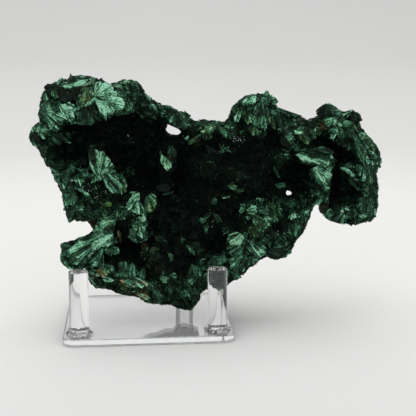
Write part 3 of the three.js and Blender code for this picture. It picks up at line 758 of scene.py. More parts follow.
# The relief grown on the body, in millimetres: its height, and the pitch and seed of knobs.
LARGE_RISE, SMALL_RISE, CRAG_HEIGHT, SUNK = 1.7, 0.95, 0.6, 1.5
LARGE_KNOBS, SMALL_KNOBS = (7.5, 1.3), (3.1, 4.7)
FINE_CRAG_RATE, WARP = 210.0, 0.8
KNOB_REACH = 0.85
HOLE_FADE = 3.0


def knobs(points, pitch, seed):
    """Rounded knobs side by side, from 0 in the clefts to 1 on their crowns."""
    shift = Vector((seed, -seed, 2 * seed))
    nearest = sampled(lambda p: noise.voronoi(p / (pitch * MM) + shift)[0][0], points)
    return np.sqrt(np.clip(1 - (nearest / KNOB_REACH) ** 2, 0, 1))


def grow_body(body, points, edges, counts, normals, velvet, clearance, fans):
    """The specimen's surface: rounded velvety knobs and craggy relief, with painted light on the knobs'
    crowns and painted shade in their clefts.
    """
    mesh = body.data
    owner, reach = nearest_fan(points, fans)
    own = fans[owner]
    crag = sampled(lambda p: noise.fractal(p * FINE_CRAG_RATE, CRAG_FALLOFF, CRAG_LACUNARITY, 3), points)
    warped = points + crag[:, None] * WARP * MM
    large, small = knobs(warped, *LARGE_KNOBS), knobs(warped, *SMALL_KNOBS)
    rise = LARGE_RISE * large + SMALL_RISE * small + CRAG_HEIGHT * crag - SUNK
    near_hole = np.clip(1 - clearance / HOLE_FADE, 0, 1)
    rise = rise * (1 - 0.35 * near_hole) + 0.1 * near_hole
    points = points + normals * rise[:, None] * MM
    even = points
    for _ in range(3):
        even = neighbour_mean(even, edges, counts)
    mesh.vertices.foreach_set("co", points.ravel())
    normals = normals_of(mesh, points)
    hump = np.sum((points - even) * normals, axis=1) / MM
    near = np.clip(1.5 - reach, 0.25, 1)
    pale = own[:, 10] * 0.36 * near * (1 - 0.6 * velvet) + 0.04
    # Painted light and shade: the knobs' crowns are painted paler and the clefts darker by the small-scale
    # hump, with random craggy tone added.
    pale = pale * (1 + 1.6 * np.clip(hump, -0.5, 0.9) + 0.5 * crag)
    write_attribute(mesh, "pale", np.clip(pale, 0.0, 1.0))
    write_attribute(mesh, "yellow", own[:, 11] * near)
    write_attribute(mesh, "rust", own[:, 12] * np.clip(0.6 + crag, 0, 1) * near)
    write_attribute(mesh, "strand", points[:, 0] / (0.9 * MM))
    write_attribute(mesh, "along", points[:, 2] / (1.6 * MM))
    mesh.update()
    return search_tree(mesh, points)


# ------------------------------------------------------------------ sheaves of fibre
FIBRE_WIDTH = 0.3 * MM
# In millimetres: how wide the strands are, how high they and the finer relief rise.
STRAND_WIDTHS, STRAND_RISE, RELIEF_RISE = (0.35, 1.25), 0.17, 0.5
RELIEF_RATE, PATCH_RATES = 330.0, (420.0, 1100.0)
# How much a strand's random tone changes its colour, and how strongly painted light follows the relief, the
# way out along it (a painted sheen towards the tips) and its height (a painted highlight on the taller
# strands).
SHADE_TONE, RELIEF_PAINTED_LIGHT, TIP_PAINTED_SHEEN, HEIGHT_PAINTED_LIGHT = 0.24, 0.62, 0.22, 0.25


def ring_faces(columns, ring):
    """The faces of a closed form made of rings, column after column, capped at its ends."""
    base = (np.arange(columns - 1)[:, None] * ring + np.arange(ring)[None, :]).ravel()
    step = np.where(np.arange(ring) == ring - 1, 1 - ring, 1)
    turn = np.tile(step, columns - 1)
    walls = np.stack([base, base + turn, base + turn + ring, base + ring], axis=1)
    first = np.arange(ring)[::-1]
    last = np.arange(ring) + (columns - 1) * ring
    return [walls, first, last]


def strands(columns, pitch):
    """Strands of fibre across some columns: each column's height, tone and ragged end.

    pitch is the distance between columns, in millimetres.
    """
    place = np.arange(columns) * pitch
    ends = np.cumsum(rng.uniform(*STRAND_WIDTHS, int(place[-1] / STRAND_WIDTHS[0]) + 2))
    strand = np.searchsorted(ends, place)
    starts = np.concatenate([[0], ends])
    way = (place - starts[strand]) / (starts[strand + 1] - starts[strand])
    round_top = np.sqrt(np.clip(1 - (2 * way - 1) ** 2, 0, 1))
    height = rng.normal(0, 0.5, len(ends) + 1)[strand] + round_top
    tone = rng.normal(0, 1, len(ends) + 1)[strand]
    ragged = rng.normal(0, 1, len(ends) + 1)[strand] + rng.normal(0, 0.35, columns)
    return height, tone, ragged


def sheaf(gather, surface, facing, middle, depth, dome, undercut, tints, profile, pitch):
    """A block of fibres side by side: its top is ribbed, its end ragged and its sides steep.

    surface holds the top's points, column by column from the fibres' source outwards.
    """
    columns, rows, _ = surface.shape
    height, tone = profile[0][:, None], profile[1][:, None]
    out = np.linspace(0, 1, rows)[None, :]
    rough = sampled(lambda p: noise.fractal(p * RELIEF_RATE, 0.8, 2.1, 3), surface)
    rise = rough * RELIEF_RISE * MM + height * (0.4 + 0.6 * out) * STRAND_RISE * MM
    rise = rise + dome * (1 - (2 * out - 1) ** 2)
    top = surface + facing * rise[:, :, None]
    end, start = top[:, -1:], top[:, :1]
    low_end = end + (middle - end) * undercut - facing * depth
    low_start = start + (middle - start) * undercut * 0.5 - facing * depth
    ring = np.concatenate([top, low_end, low_start], axis=1)
    pale, yellow, rust = tints
    pale = pale ** 1.25
    # Random tone, plus painted light: raised relief, the outer ends and the taller strands are painted
    # paler, and hollows and roots darker.
    tone_and_painted_light = pale * (1 + SHADE_TONE * tone + RELIEF_PAINTED_LIGHT * rough
                    + TIP_PAINTED_SHEEN * (out - 0.4) + HEIGHT_PAINTED_LIGHT * (height - 0.8))
    # Painted shade: the steep sides that run down into the body are painted at 0.3 of the top's paleness.
    low = np.full((columns, 2), pale * 0.3)
    tone_and_painted_light = np.concatenate([tone_and_painted_light, low], axis=1)
    across = np.broadcast_to((np.arange(columns) * pitch / 0.5)[:, None], tone_and_painted_light.shape) + rng.uniform(0, 900)
    steps = np.linalg.norm(np.diff(ring, axis=1, prepend=ring[:, :1]), axis=2)
    along = np.cumsum(steps, axis=1) / (9.0 * MM)
    flat = np.zeros_like(tone_and_painted_light)
    coarse, fine = PATCH_RATES
    patch = sampled(lambda p: noise.noise(p * coarse) + 0.6 * noise.noise(p * fine), ring)
    yellow = yellow * np.clip(0.75 + 1.3 * patch, 0, 1.6)
    rust = rust * np.clip(0.7 + 2.6 * patch, 0, 1.6)
    tint = np.stack([tone_and_painted_light, flat + yellow, flat + rust, across, along], axis=2)
    gather.add(ring.reshape(-1, 3), ring_faces(columns, rows + 2), tint.reshape(-1, 5))


def ray_spans(apex, outline, angles):
    """Where rays from an apex enter and leave an outline."""
    start = outline - apex
    step = np.roll(outline, -1, axis=0) - outline
    spans = []
    for angle in angles:
        ray = np.array([math.cos(angle), math.sin(angle)])
        cross = ray[0] * step[:, 1] - ray[1] * step[:, 0]
        cross = np.where(np.abs(cross) < 1e-9, 1e-9, cross)
        reach = (start[:, 0] * step[:, 1] - start[:, 1] * step[:, 0]) / cross
        place = (start[:, 0] * ray[1] - start[:, 1] * ray[0]) / cross
        hits = reach[(place >= -1e-6) & (place <= 1 + 1e-6) & (reach > 0)]
        spans.append((hits.min(), hits.max()) if len(hits) > 1 else (np.nan, np.nan))
    return np.array(spans)


def facing_of(turn, lift):
    """The direction that a plate faces."""
    turn, lift = math.radians(turn), math.radians(lift)
    level = math.cos(lift)
    return np.array([math.sin(turn) * level, -math.cos(turn) * level, math.sin(lift)])


def plate(gather, pale, yellow, rust, facing, out, apex, outline):
    """One of the large plates, with its fibres spreading from its apex."""
    outline = np.array(outline, dtype=float)
    middle = outline.mean(axis=0)
    places = np.vstack([outline * 0.8 + middle * 0.2, middle])
    hits = [(place, *front_point(body_tree, *place)[:2]) for place in places]
    hits = [hit for hit in hits if hit[1] is not None]
    if not hits:
        return
    if facing is None:
        lean = np.mean([normal for _, _, normal in hits], axis=0)
        direction = unit(unit(lean) + np.array([0, -1.6, 0.15]))
    else:
        direction = facing_of(*facing)
    slope = -direction[[0, 2]] / direction[1]
    level = [point.y / MM - slope @ place for place, point, _ in hits]
    base = np.percentile(level, 15) - out * 0.5 - 0.3

    def lift(flat):
        """Points on the plate's own plane, from (across, up)."""
        depth = base + flat @ slope
        across, up = STONE_LOW[0] + flat[..., 0] * MM, STONE_LOW[2] + flat[..., 1] * MM
        return np.stack([across, depth * MM, up], -1)

    if apex is None:
        apex = middle + (outline[0] - middle) * 1.6
    apex = np.array(apex, dtype=float)
    while within(outline, *apex) or within(outline, *(apex * 0.9 + middle * 0.1)):
        apex = apex + unit(apex - middle) * 0.4
    offset = outline - apex
    turns = np.unwrap(np.arctan2(offset[:, 1], offset[:, 0]))
    axis = math.atan2(*(middle - apex)[::-1])
    turns = axis + (turns - axis + math.pi) % (2 * math.pi) - math.pi
    low, high = turns.min(), turns.max()
    breadth = (high - low) * np.linalg.norm(middle - apex)
    columns = int(np.clip(breadth * MM / FIBRE_WIDTH, 10, 100))
    pitch = breadth / columns
    margin = (high - low) * 0.01
    angles = np.linspace(low + margin, high - margin, columns)
    profile = strands(columns, pitch)
    spans = ray_spans(apex, outline, angles)
    keep = np.isfinite(spans[:, 0])
    angles, spans = angles[keep], spans[keep]
    profile = tuple(values[keep] for values in profile)
    if len(angles) < 4:
        return
    near, far = spans.T
    far = np.maximum(far + profile[2] * 0.42, near + 0.3)
    near = near - np.abs(np.roll(profile[2], 3)) * 0.2
    rows = int(np.clip((far - near).max() / 1.1, 3, 9))
    reach = near[:, None] + (far - near)[:, None] * np.linspace(0, 1, rows)[None, :]
    flat = apex + reach[..., None] * np.stack([np.cos(angles), np.sin(angles)], -1)[:, None]
    size = np.ptp(outline, axis=0).mean() * MM
    depth = 2.2 * MM + size * 0.35
    sheaf(gather, lift(flat), direction, lift(middle), depth, size * 0.05, 0.2,
          (pale, yellow, rust), profile, pitch)


def spray(gather, fan, tree):
    """A small spray of fibre, rising from the surface."""
    centre, along, normal = fan[:3], fan[3:6], fan[6:9]
    place, facing, _, _ = tree.find_nearest(Vector(centre))
    centre = np.array(place)
    normal = unit(normal + np.array(facing))
    along = unit(along - normal * np.dot(along, normal))
    length, tilt = fan[9], rng.uniform(-0.14, 0.2)
    forward = along * math.cos(tilt) + normal * math.sin(tilt)
    upward = normal * math.cos(tilt) - along * math.sin(tilt)
    side = np.cross(upward, forward)
    left, right = rng.uniform(0.25, 0.95, 2)
    breadth = (left + right) * length * 0.75 / MM
    columns = int(np.clip(breadth * MM / FIBRE_WIDTH, 7, 40))
    pitch = breadth / columns
    profile = strands(columns, pitch)
    angles = np.linspace(-left, right, columns)
    wave = np.sin(angles * rng.uniform(2, 7) + rng.uniform(0, 6))
    outline = 1 + 0.14 * wave - 0.2 * np.abs(angles)
    outline = np.maximum(outline + profile[2] * 0.075, 0.4)
    inner = 0.15 + 0.12 * np.abs(np.roll(profile[2], 2))
    inner = np.minimum(inner, outline * 0.7)
    rows = 4
    reach = length * (inner[:, None] + (outline - inner)[:, None] * np.linspace(0, 1, rows)[None, :])
    source = centre - along * length * 0.45 - normal * length * 0.06
    heading = np.cos(angles)[:, None] * forward + np.sin(angles)[:, None] * side
    surface = source + reach[..., None] * heading[:, None]
    sheaf(gather, surface, upward, centre, length * 0.3 + 0.5 * MM, length * 0.05, 0.25,
          fan[10:13], profile, pitch)


# --------------------------------------------------------------------- loose fibres
RINGS = 4
FIBRES_EACH = 4


def needle(gather, places, normals, width, tints):
    """A thin three-sided tapering fibre through the given places."""
    steps = unit(np.gradient(places, axis=0))
    across = unit(np.cross(steps, normals))
    above = np.cross(across, steps)
    half = width * np.array([0.5, 1.0, 0.9, 0.25])[:, None]
    corners = np.stack([
        places - across * half - above * half * 0.7,
        places + above * half,
        places + across * half - above * half * 0.7,
    ], axis=1)
    pale, yellow, rust = tints
    # Painted shade and sheen: each loose fibre is painted darker at its root and paler towards its free
    # tip.
    tone_and_painted_light = pale + np.linspace(-0.1, 0.12, RINGS)[:, None] + np.zeros((1, 3))
    flat = np.zeros_like(tone_and_painted_light)
    tint = np.stack([tone_and_painted_light, flat + yellow, flat + rust, flat + rng.uniform(0, 900), flat], axis=2)
    gather.add(corners.reshape(-1, 3), ring_faces(RINGS, 3), tint.reshape(-1, 5))


def loose_fibres(gather, fan, count, tree):
    """Single fibres that lie over a fan and stick out past its edge."""
    centre, along, normal = fan[:3], fan[3:6], fan[6:9]
    length = fan[9]
    side = np.cross(normal, along)
    source = centre - along * length * 0.5
    for _ in range(count):
        turn = rng.uniform(-0.8, 0.8)
        heading = along * math.cos(turn) + side * math.sin(turn)
        near, far = length * rng.uniform(0.2, 0.7), length * rng.uniform(0.8, 1.08)
        lift = rng.uniform(0.1, 0.6) * MM
        places, normals = [], []
        for k in range(RINGS):
            reach = near + (far - near) * k / (RINGS - 1)
            place, facing, _, _ = tree.find_nearest(Vector(source + heading * reach))
            places.append(place + facing * lift * (0.2 + k / (RINGS - 1)))
            normals.append(facing)
        tints = (fan[10] + rng.normal(0, 0.12), fan[11], fan[12])
        needle(gather, np.array(places), np.array(normals), rng.uniform(0.1, 0.2) * MM, tints)


def sparkle(gather, across, up, tree):
    """A small pointed crystal, standing on the surface."""
    place, facing, _, _ = front_point(tree, across, up)
    if place is None:
        return
    axis = unit(np.array(facing) + rng.normal(0, 0.5, 3))
    side = unit(np.cross(axis, rng.normal(0, 1, 3)))
    other = np.cross(axis, side)
    size = rng.uniform(0.1, 0.26) * MM
    base = np.array(place) - axis * size * 0.5
    rings = []
    for height, breadth in ((0, 0.9), (1.6, 1.0), (2.4, 0.15)):
        for k in range(4):
            turn = k * math.pi / 2
            round_axis = side * math.cos(turn) + other * math.sin(turn)
            rings.append(base + axis * size * height + round_axis * size * breadth)
    tints = np.tile([rng.uniform(0.75, 1.0), 0.0, 0.0, 0.0, 0.0], (12, 1))
    gather.add(np.array(rings), ring_faces(3, 4), tints)


# ---------------------------------------------------------------------------- materials


def node_material(name):
    """A material with its node tree's nodes and links, and its main shader."""
    material = bpy.data.materials.new(name)
    material.use_nodes = True
    tree = material.node_tree
    tree.nodes.new("ShaderNodeTexCoord").name = "Place"
    return material, tree.nodes, tree.links, tree.nodes["Principled BSDF"]


def reader(nodes, name):
    """A node that reads one of the mesh's own attributes."""
    node = nodes.new("ShaderNodeAttribute")
    node.attribute_name = name
    return node.outputs["Fac"]


def ramp(nodes, links, source, stops):
    """A colour ramp fed by a socket, with stops of (place, colour)."""
    node = nodes.new("ShaderNodeValToRGB")
    elements = node.color_ramp.elements
    while len(elements) < len(stops):
        elements.new(0.5)
    for element, (place, colour) in zip(elements, stops):
        element.position = place
        element.color = (*colour, 1)
    links.new(source, node.inputs["Fac"])
    return node.outputs["Color"]


def maths(nodes, links, operation, *values, clamp=False):
    """A calculation on sockets and numbers."""
    node = nodes.new("ShaderNodeMath")
    node.operation = operation
    node.use_clamp = clamp
    for socket, value in zip(node.inputs, values):
        if isinstance(value, (int, float)):
            socket.default_value = value
        else:
            links.new(value, socket)
    return node.outputs[0]


def blend_colour(nodes, links, amount, first, second, way="MIX"):
    """Two colours mixed, by a socket or a number."""
    node = nodes.new("ShaderNodeMix")
    node.data_type = "RGBA"
    node.blend_type = way
    if isinstance(amount, (int, float)):
        node.inputs["Factor"].default_value = amount
    else:
        links.new(amount, node.inputs["Factor"])
    for socket, value in zip((node.inputs[6], node.inputs[7]), (first, second)):
        links.new(value, socket)
    return node.outputs[2]


def noise_texture(nodes, links, scale, detail, place=None):
    """A noise over a place, or over the piece's own place, from 0 to 1."""
    node = nodes.new("ShaderNodeTexNoise")
    node.inputs["Scale"].default_value = scale
    node.inputs["Detail"].default_value = detail
    links.new(place or nodes["Place"].outputs["Object"], node.inputs["Vector"])
    return node.outputs["Fac"]


STREAK, GRAIN, BLOTCH = 1.9, 1.6, 1.2  # how strongly each kind of mottling shows
GREENS = [
    (0.0, (0.0007, 0.0013, 0.0011)),
    (0.2, (0.0038, 0.0095, 0.0062)),
    (0.42, (0.0155, 0.0500, 0.0270)),
    (0.62, (0.043, 0.142, 0.075)),
    (0.82, (0.110, 0.315, 0.184)),
    (1.0, (0.280, 0.540, 0.380)),
]
YELLOWS = [
    (0.0, (0.0015, 0.0020, 0.0008)),
    (0.2, (0.0065, 0.0130, 0.0026)),
    (0.42, (0.025, 0.058, 0.013)),
    (0.7, (0.080, 0.175, 0.046)),
    (1.0, (0.260, 0.430, 0.180)),
]
RUSTS = [
    (0.0, (0.003, 0.002, 0.001)),
    (0.3, (0.045, 0.022, 0.009)),
    (0.6, (0.170, 0.078, 0.028)),
    (1.0, (0.380, 0.220, 0.110)),
]


def malachite_material(name, roughness, specular, sheen):
    """Malachite: near black where it is dark and velvety, mint where it is pale."""
    material, nodes, links, shader = node_material(name)
    lay = nodes.new("ShaderNodeCombineXYZ")
    links.new(reader(nodes, "strand"), lay.inputs["X"])
    links.new(reader(nodes, "along"), lay.inputs["Y"])
    streak = noise_texture(nodes, links, 1.0, 3, lay.outputs["Vector"])
    fine = noise_texture(nodes, links, 1100, 4)
    blotch = noise_texture(nodes, links, 210, 4)
    vary = maths(nodes, links, "MULTIPLY_ADD", streak, STREAK, -STREAK / 2)
    vary = maths(nodes, links, "MULTIPLY_ADD", fine, GRAIN, vary)
    vary = maths(nodes, links, "MULTIPLY_ADD", blotch, BLOTCH, vary)
    vary = maths(nodes, links, "ADD", vary, -(GRAIN + BLOTCH) / 2)
    pale = reader(nodes, "pale")
    strength = maths(nodes, links, "MULTIPLY_ADD", pale, 1.2, 0.15)
    pale = maths(nodes, links, "MULTIPLY_ADD", vary, strength, pale, clamp=True)
    # Painted shade: thin dark lines between strands and small dark pits, painted in where shade falls in
    # the cracks.
    split = noise_texture(nodes, links, 2.1, 2, lay.outputs["Vector"])
    pit_shade = noise_texture(nodes, links, 620, 3)
    for source, start in ((split, 0.38), (pit_shade, 0.32)):
        gap = maths(nodes, links, "MULTIPLY_ADD", source, 9.0, 0.35 - 9.0 * start, clamp=True)
        pale = maths(nodes, links, "MULTIPLY", pale, maths(nodes, links, "MULTIPLY_ADD", gap, 0.7, 0.3))
    mottle = maths(nodes, links, "MULTIPLY_ADD", blotch, 5.0, -1.85, clamp=True)
    tinge = maths(nodes, links, "MULTIPLY", reader(nodes, "yellow"),
                  maths(nodes, links, "MULTIPLY_ADD", mottle, 0.75, 0.25))
    colour = blend_colour(nodes, links, tinge,
                          ramp(nodes, links, pale, GREENS), ramp(nodes, links, pale, YELLOWS))
    stain = maths(nodes, links, "MULTIPLY", reader(nodes, "rust"), mottle)
    colour = blend_colour(nodes, links, stain, colour, ramp(nodes, links, pale, RUSTS))
    links.new(colour, shader.inputs["Base Color"])
    shader.inputs["Roughness"].default_value = roughness
    shader.inputs["Specular IOR Level"].default_value = specular
    shader.inputs["Sheen Weight"].default_value = sheen
    shader.inputs["Sheen Roughness"].default_value = 0.4
    shader.inputs["Sheen Tint"].default_value = (0.35, 0.7, 0.5, 1)
    height = nodes.new("ShaderNodeBump")
    height.inputs["Strength"].default_value = 0.8
    height.inputs["Distance"].default_value = 0.5 * MM
    links.new(maths(nodes, links, "ADD", fine, streak), height.inputs["Height"])
    links.new(height.outputs["Normal"], shader.inputs["Normal"])
    return material


def crystal_material():
    """Small glossy crystals, whitish with a green cast."""
    material, nodes, links, shader = node_material("crystal")
    tone = noise_texture(nodes, links, 500, 1)
    stops = [(0.42, (0.05, 0.10, 0.07)), (0.55, (0.22, 0.34, 0.27)), (0.68, (0.75, 0.82, 0.76))]
    links.new(ramp(nodes, links, tone, stops), shader.inputs["Base Color"])
    shader.inputs["Roughness"].default_value = 0.15
    return material


def acrylic_material(name, roughness_from, roughness_to, grain, density):
    """Clear acrylic, hazed in patches.

    grain is how fine the patches are, and density how much light a metre of it stops.
    """
    material, nodes, links, shader = node_material(name)
    haze = noise_texture(nodes, links, grain, 3)
    spread = maths(nodes, links, "MULTIPLY_ADD", haze, roughness_to - roughness_from, roughness_from)
    links.new(spread, shader.inputs["Roughness"])
    shader.inputs["Base Color"].default_value = (0.998, 1.0, 0.999, 1)
    shader.inputs["Transmission Weight"].default_value = 1.0
    shader.inputs["IOR"].default_value = 1.49
    inside = nodes.new("ShaderNodeVolumeAbsorption")
    inside.inputs["Color"].default_value = (0.0, 0.05, 0.03, 1)
    inside.inputs["Density"].default_value = density
    links.new(inside.outputs["Volume"], nodes["Material Output"].inputs["Volume"])
    return material


# ------------------------------------------------------------------------ acrylic stand
PEG_SIDES = 64
PEG_BEVEL = 0.45 * MM
PLATE_CORNER = 6 * MM
PLATE_BEVEL = 0.45 * MM
BEVEL_STEPS = 5
CORNER_STEPS = 14
PEGS = ("peg_front_left", "peg_front_right", "peg_rear")


def softened_slab(form, loop, low, high, bevel, centre):
    """Adds a slab with the given outline, its edges rounded over, and its walls smooth."""
    outline = np.array(loop)
    tangent = unit(np.roll(outline, -1, axis=0) - np.roll(outline, 1, axis=0))
    inward = np.stack([-tangent[:, 1], tangent[:, 0]], -1)
    arc = [k * math.pi / 2 / (BEVEL_STEPS - 1) for k in range(BEVEL_STEPS)]
    steps = [(bevel * (1 - math.sin(a)), bevel * (1 - math.cos(a))) for a in arc]
    levels = [(inset, low + rise) for inset, rise in steps]
    levels += [(inset, high - rise) for inset, rise in reversed(steps)]
    rings = []
    for inset, height in levels:
        ring = outline + inward * inset
        rings.append([form.verts.new((centre[0] + x, centre[1] + y, height)) for x, y in ring])
    count = len(outline)
    for below, above in zip(rings, rings[1:]):
        for k in range(count):
            n = (k + 1) % count
            form.faces.new((below[k], below[n], above[n], above[k])).smooth = True
    form.faces.new(list(reversed(rings[0])))
    form.faces.new(rings[-1])


def stand_piece(form, name, material, node=None):
    """A finished form as a piece of the stand, in place of a CAD node if it has one."""
    mesh = bpy.data.meshes.new(name)
    form.to_mesh(mesh)
    form.free()
    mesh.materials.append(material)
    piece = new_object(name, mesh)
    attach(piece, "root")
    if node:
        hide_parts(node)


def circle(radius):
    """Points anticlockwise round a circle."""
    turns = [2 * math.pi * k / PEG_SIDES for k in range(PEG_SIDES)]
    return [(radius * math.cos(turn), radius * math.sin(turn)) for turn in turns]


def rounded_rectangle(half_x, half_y, corner):
    """Points anticlockwise round a rectangle with round corners."""
    points = []
    for quarter, (sx, sy) in enumerate(((1, -1), (1, 1), (-1, 1), (-1, -1))):
        for k in range(CORNER_STEPS + 1):
            angle = (quarter - 1) * math.pi / 2 + k * math.pi / 2 / CORNER_STEPS
            points.append((sx * (half_x - corner) + corner * math.cos(angle),
                           sy * (half_y - corner) + corner * math.sin(angle)))
    return points


def middle_of(node):
    """A node's middle in plan, its half-widths, and its lowest and highest heights."""
    low, high = (Vector(corner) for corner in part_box(node))
    middle, half = (low + high) / 2, (high - low) / 2
    return (middle.x, middle.y), (half.x, half.y), low.z, high.z


def stand(plate_material, peg_material):
    """The clear plate and pegs, in place of their CAD nodes."""
    for node in ("base_plate", *PEGS):
        centre, half, low, high = middle_of(node)
        form = bmesh.new()
        if node == "base_plate":
            outline, bevel, material = rounded_rectangle(*half, PLATE_CORNER), PLATE_BEVEL, plate_material
        else:
            outline, bevel, material = circle(half[0]), PEG_BEVEL, peg_material
        softened_slab(form, outline, low, high, bevel, centre)
        stand_piece(form, f"{node}_clear", material, node)


PEG_AIR = 0.1 * MM
SPECIMEN_PIECES = ("malachite_body", "fibre_", "loose_fibres")  # how their names begin


def keep_clear_of_pegs(piece):
    """Lays whatever would reach into a peg's side against it instead."""
    places = corners_of(piece.data)
    for node in PEGS:
        centre, (radius, _), foot, top = middle_of(node)
        away = places[:, :2] - np.array(centre)
        reach = np.linalg.norm(away, axis=1)
        caught = (reach < radius + PEG_AIR) & (places[:, 2] > foot) & (places[:, 2] < top)
        places[caught, :2] += away[caught] * ((radius + PEG_AIR) / reach[caught] - 1)[:, None]
    piece.data.vertices.foreach_set("co", places.ravel())
    piece.data.update()


BEAD_STEPS = 72
BEAD_INNER_DROPS, BEAD_OUTER_DROPS, INNER_SPECKS, OUTER_SPECKS, LOOSE_SPECKS = 40, 24, 16, 14, 14
TOUCHING = 0.02 * MM  # how far above the plate the lowest cement and dust starts
SPECK_LAYER, THIN_SPECK = 0.2 * MM, 0.13 * MM


def bead(form, centre, radius, foot, plate_top, place):
    """Adds the uneven fillet of cement round a peg's foot; place tells the pegs apart."""
    rings = []
    for k in range(BEAD_STEPS):
        angle = 2 * math.pi * k / BEAD_STEPS
        out = Vector((math.cos(angle), math.sin(angle), 0))
        swell = 0.6 + 1.1 * noise.noise(out * 1.3 + Vector((0, 0, place)))
        swell += 1.1 * noise.noise(out * 6.0 + Vector((0, 3, place)))
        swell = max(swell, 0.08)
        wide = radius + (0.25 + 1.2 * swell) * MM
        tall = foot + (0.1 + 2.0 * swell) * MM
        inner = radius + 0.03 * MM
        points = ((inner, plate_top + TOUCHING), (wide, plate_top + TOUCHING),
                  ((inner * 2 + wide) / 3, (plate_top + tall) / 2), (inner, tall))
        rings.append([form.verts.new((centre[0] + out.x * r, centre[1] + out.y * r, z))
                      for r, z in points])
    for ring, after in zip(rings, rings[1:] + rings[:1]):
        for k in range(4):
            n = (k + 1) % 4
            form.faces.new((ring[k], ring[n], after[n], after[k]))


def around(centre, angle, reach):
    """A place in plan, at an angle and a distance from a centre."""
    return centre[0] + reach * math.cos(angle), centre[1] + reach * math.sin(angle)


def cement(material):
    """The uneven bead of clear cement round each peg's foot, with drops and bubbles in it."""
    _, _, _, plate_top = middle_of("base_plate")
    form = bmesh.new()

    def drop(x, y, z, size, squash):
        scale = Matrix.Diagonal((size, size * rng.uniform(0.6, 1), squash, 1))
        bmesh.ops.create_uvsphere(form, u_segments=14, v_segments=8, radius=1.0,
                                  matrix=Matrix.Translation((x, y, z)) @ scale)

    for number, node in enumerate(PEGS):
        centre, (radius, _), foot, _ = middle_of(node)
        bead(form, centre, radius, foot, plate_top, 5.0 * number)
        for _ in range(BEAD_INNER_DROPS):
            angle, reach = rng.uniform(0, 2 * math.pi), radius * math.sqrt(rng.uniform(0, 0.9))
            drop(*around(centre, angle, reach), (plate_top + foot) / 2,
                 rng.uniform(0.25, 0.9) * MM, (foot - plate_top) * 0.42)
        for _ in range(BEAD_OUTER_DROPS):
            angle, size = rng.uniform(0, 2 * math.pi), rng.uniform(0.2, 0.7) * MM
            reach = radius + size * 1.1 + rng.uniform(0.5, 1.2) * MM
            drop(*around(centre, angle, reach), plate_top + size * 0.8, size, size * 0.7)
    for face in form.faces:
        face.smooth = True
    bmesh.ops.recalc_face_normals(form, faces=form.faces)
    stand_piece(form, "peg_cement", material)


def grit():
    """Specks of dark dust caught round the feet of the pegs, and a few on the plate."""
    _, half, _, plate_top = middle_of("base_plate")
    form = bmesh.new()

    def speck(x, y, z, size):
        matrix = Matrix.Translation((x, y, z)) @ Matrix.Rotation(rng.uniform(0, 6), 4, "Z")
        thin = z <= plate_top + SPECK_LAYER
        tall = THIN_SPECK if thin else size * rng.uniform(0.4, 0.9)
        stretch = Matrix.Diagonal((size * rng.uniform(0.6, 1.8), size, tall, 1))
        bmesh.ops.create_icosphere(form, subdivisions=1, radius=1.0, matrix=matrix @ stretch)

    for node in PEGS:
        centre, (radius, _), foot, _ = middle_of(node)
        for _ in range(INNER_SPECKS):
            angle, reach = rng.uniform(0, 2 * math.pi), radius * rng.uniform(0.3, 0.97)
            speck(*around(centre, angle, reach), (plate_top + foot) / 2, rng.uniform(0.1, 0.32) * MM)
        for _ in range(OUTER_SPECKS):
            angle, reach = rng.uniform(0, 2 * math.pi), radius + rng.uniform(0.5, 2.2) * MM
            size = rng.uniform(0.15, 0.5) * MM
            speck(*around(centre, angle, reach), plate_top + TOUCHING + size * 0.9, size)
    for _ in range(LOOSE_SPECKS):
        speck(rng.uniform(-0.8, 0.8) * half[0], rng.uniform(-0.8, 0.8) * half[1],
              plate_top + 0.16 * MM, rng.uniform(0.06, 0.16) * MM)
    material, nodes, links, shader = node_material("grit")
    tone = noise_texture(nodes, links, 700, 1)
    links.new(ramp(nodes, links, tone, [(0.3, (0.02, 0.025, 0.02)), (0.7, (0.12, 0.11, 0.09))]),
              shader.inputs["Base Color"])
    shader.inputs["Roughness"].default_value = 0.8
    stand_piece(form, "peg_grit", material)


# ------------------------------------------------------------------------- the studio
FLOOR_WIDTH, FLOOR_FRONT, FLOOR_BACK, SWEEP_RADIUS, SWEEP_HEIGHT = 12.0, 6.0, 0.75, 0.5, 2.2
FLOOR_LEVEL = -0.25 * MM  # the hair's breadth of air under a plate on paper
SWEEP_STEPS = 16

# Painted shade on the paper: how pale it is painted, from in front of the object to the backdrop behind it,
# darker in front and towards the back and up the backdrop where the light falls off.
FALLOFF_START, FALLOFF_LENGTH = -0.3, 1.6
PAINTED_FALLOFF_LEVELS = [(0.08, 0.6), (0.19, 0.72), (0.42, 0.7), (0.62, 0.63), (0.8, 0.56), (0.95, 0.51)]


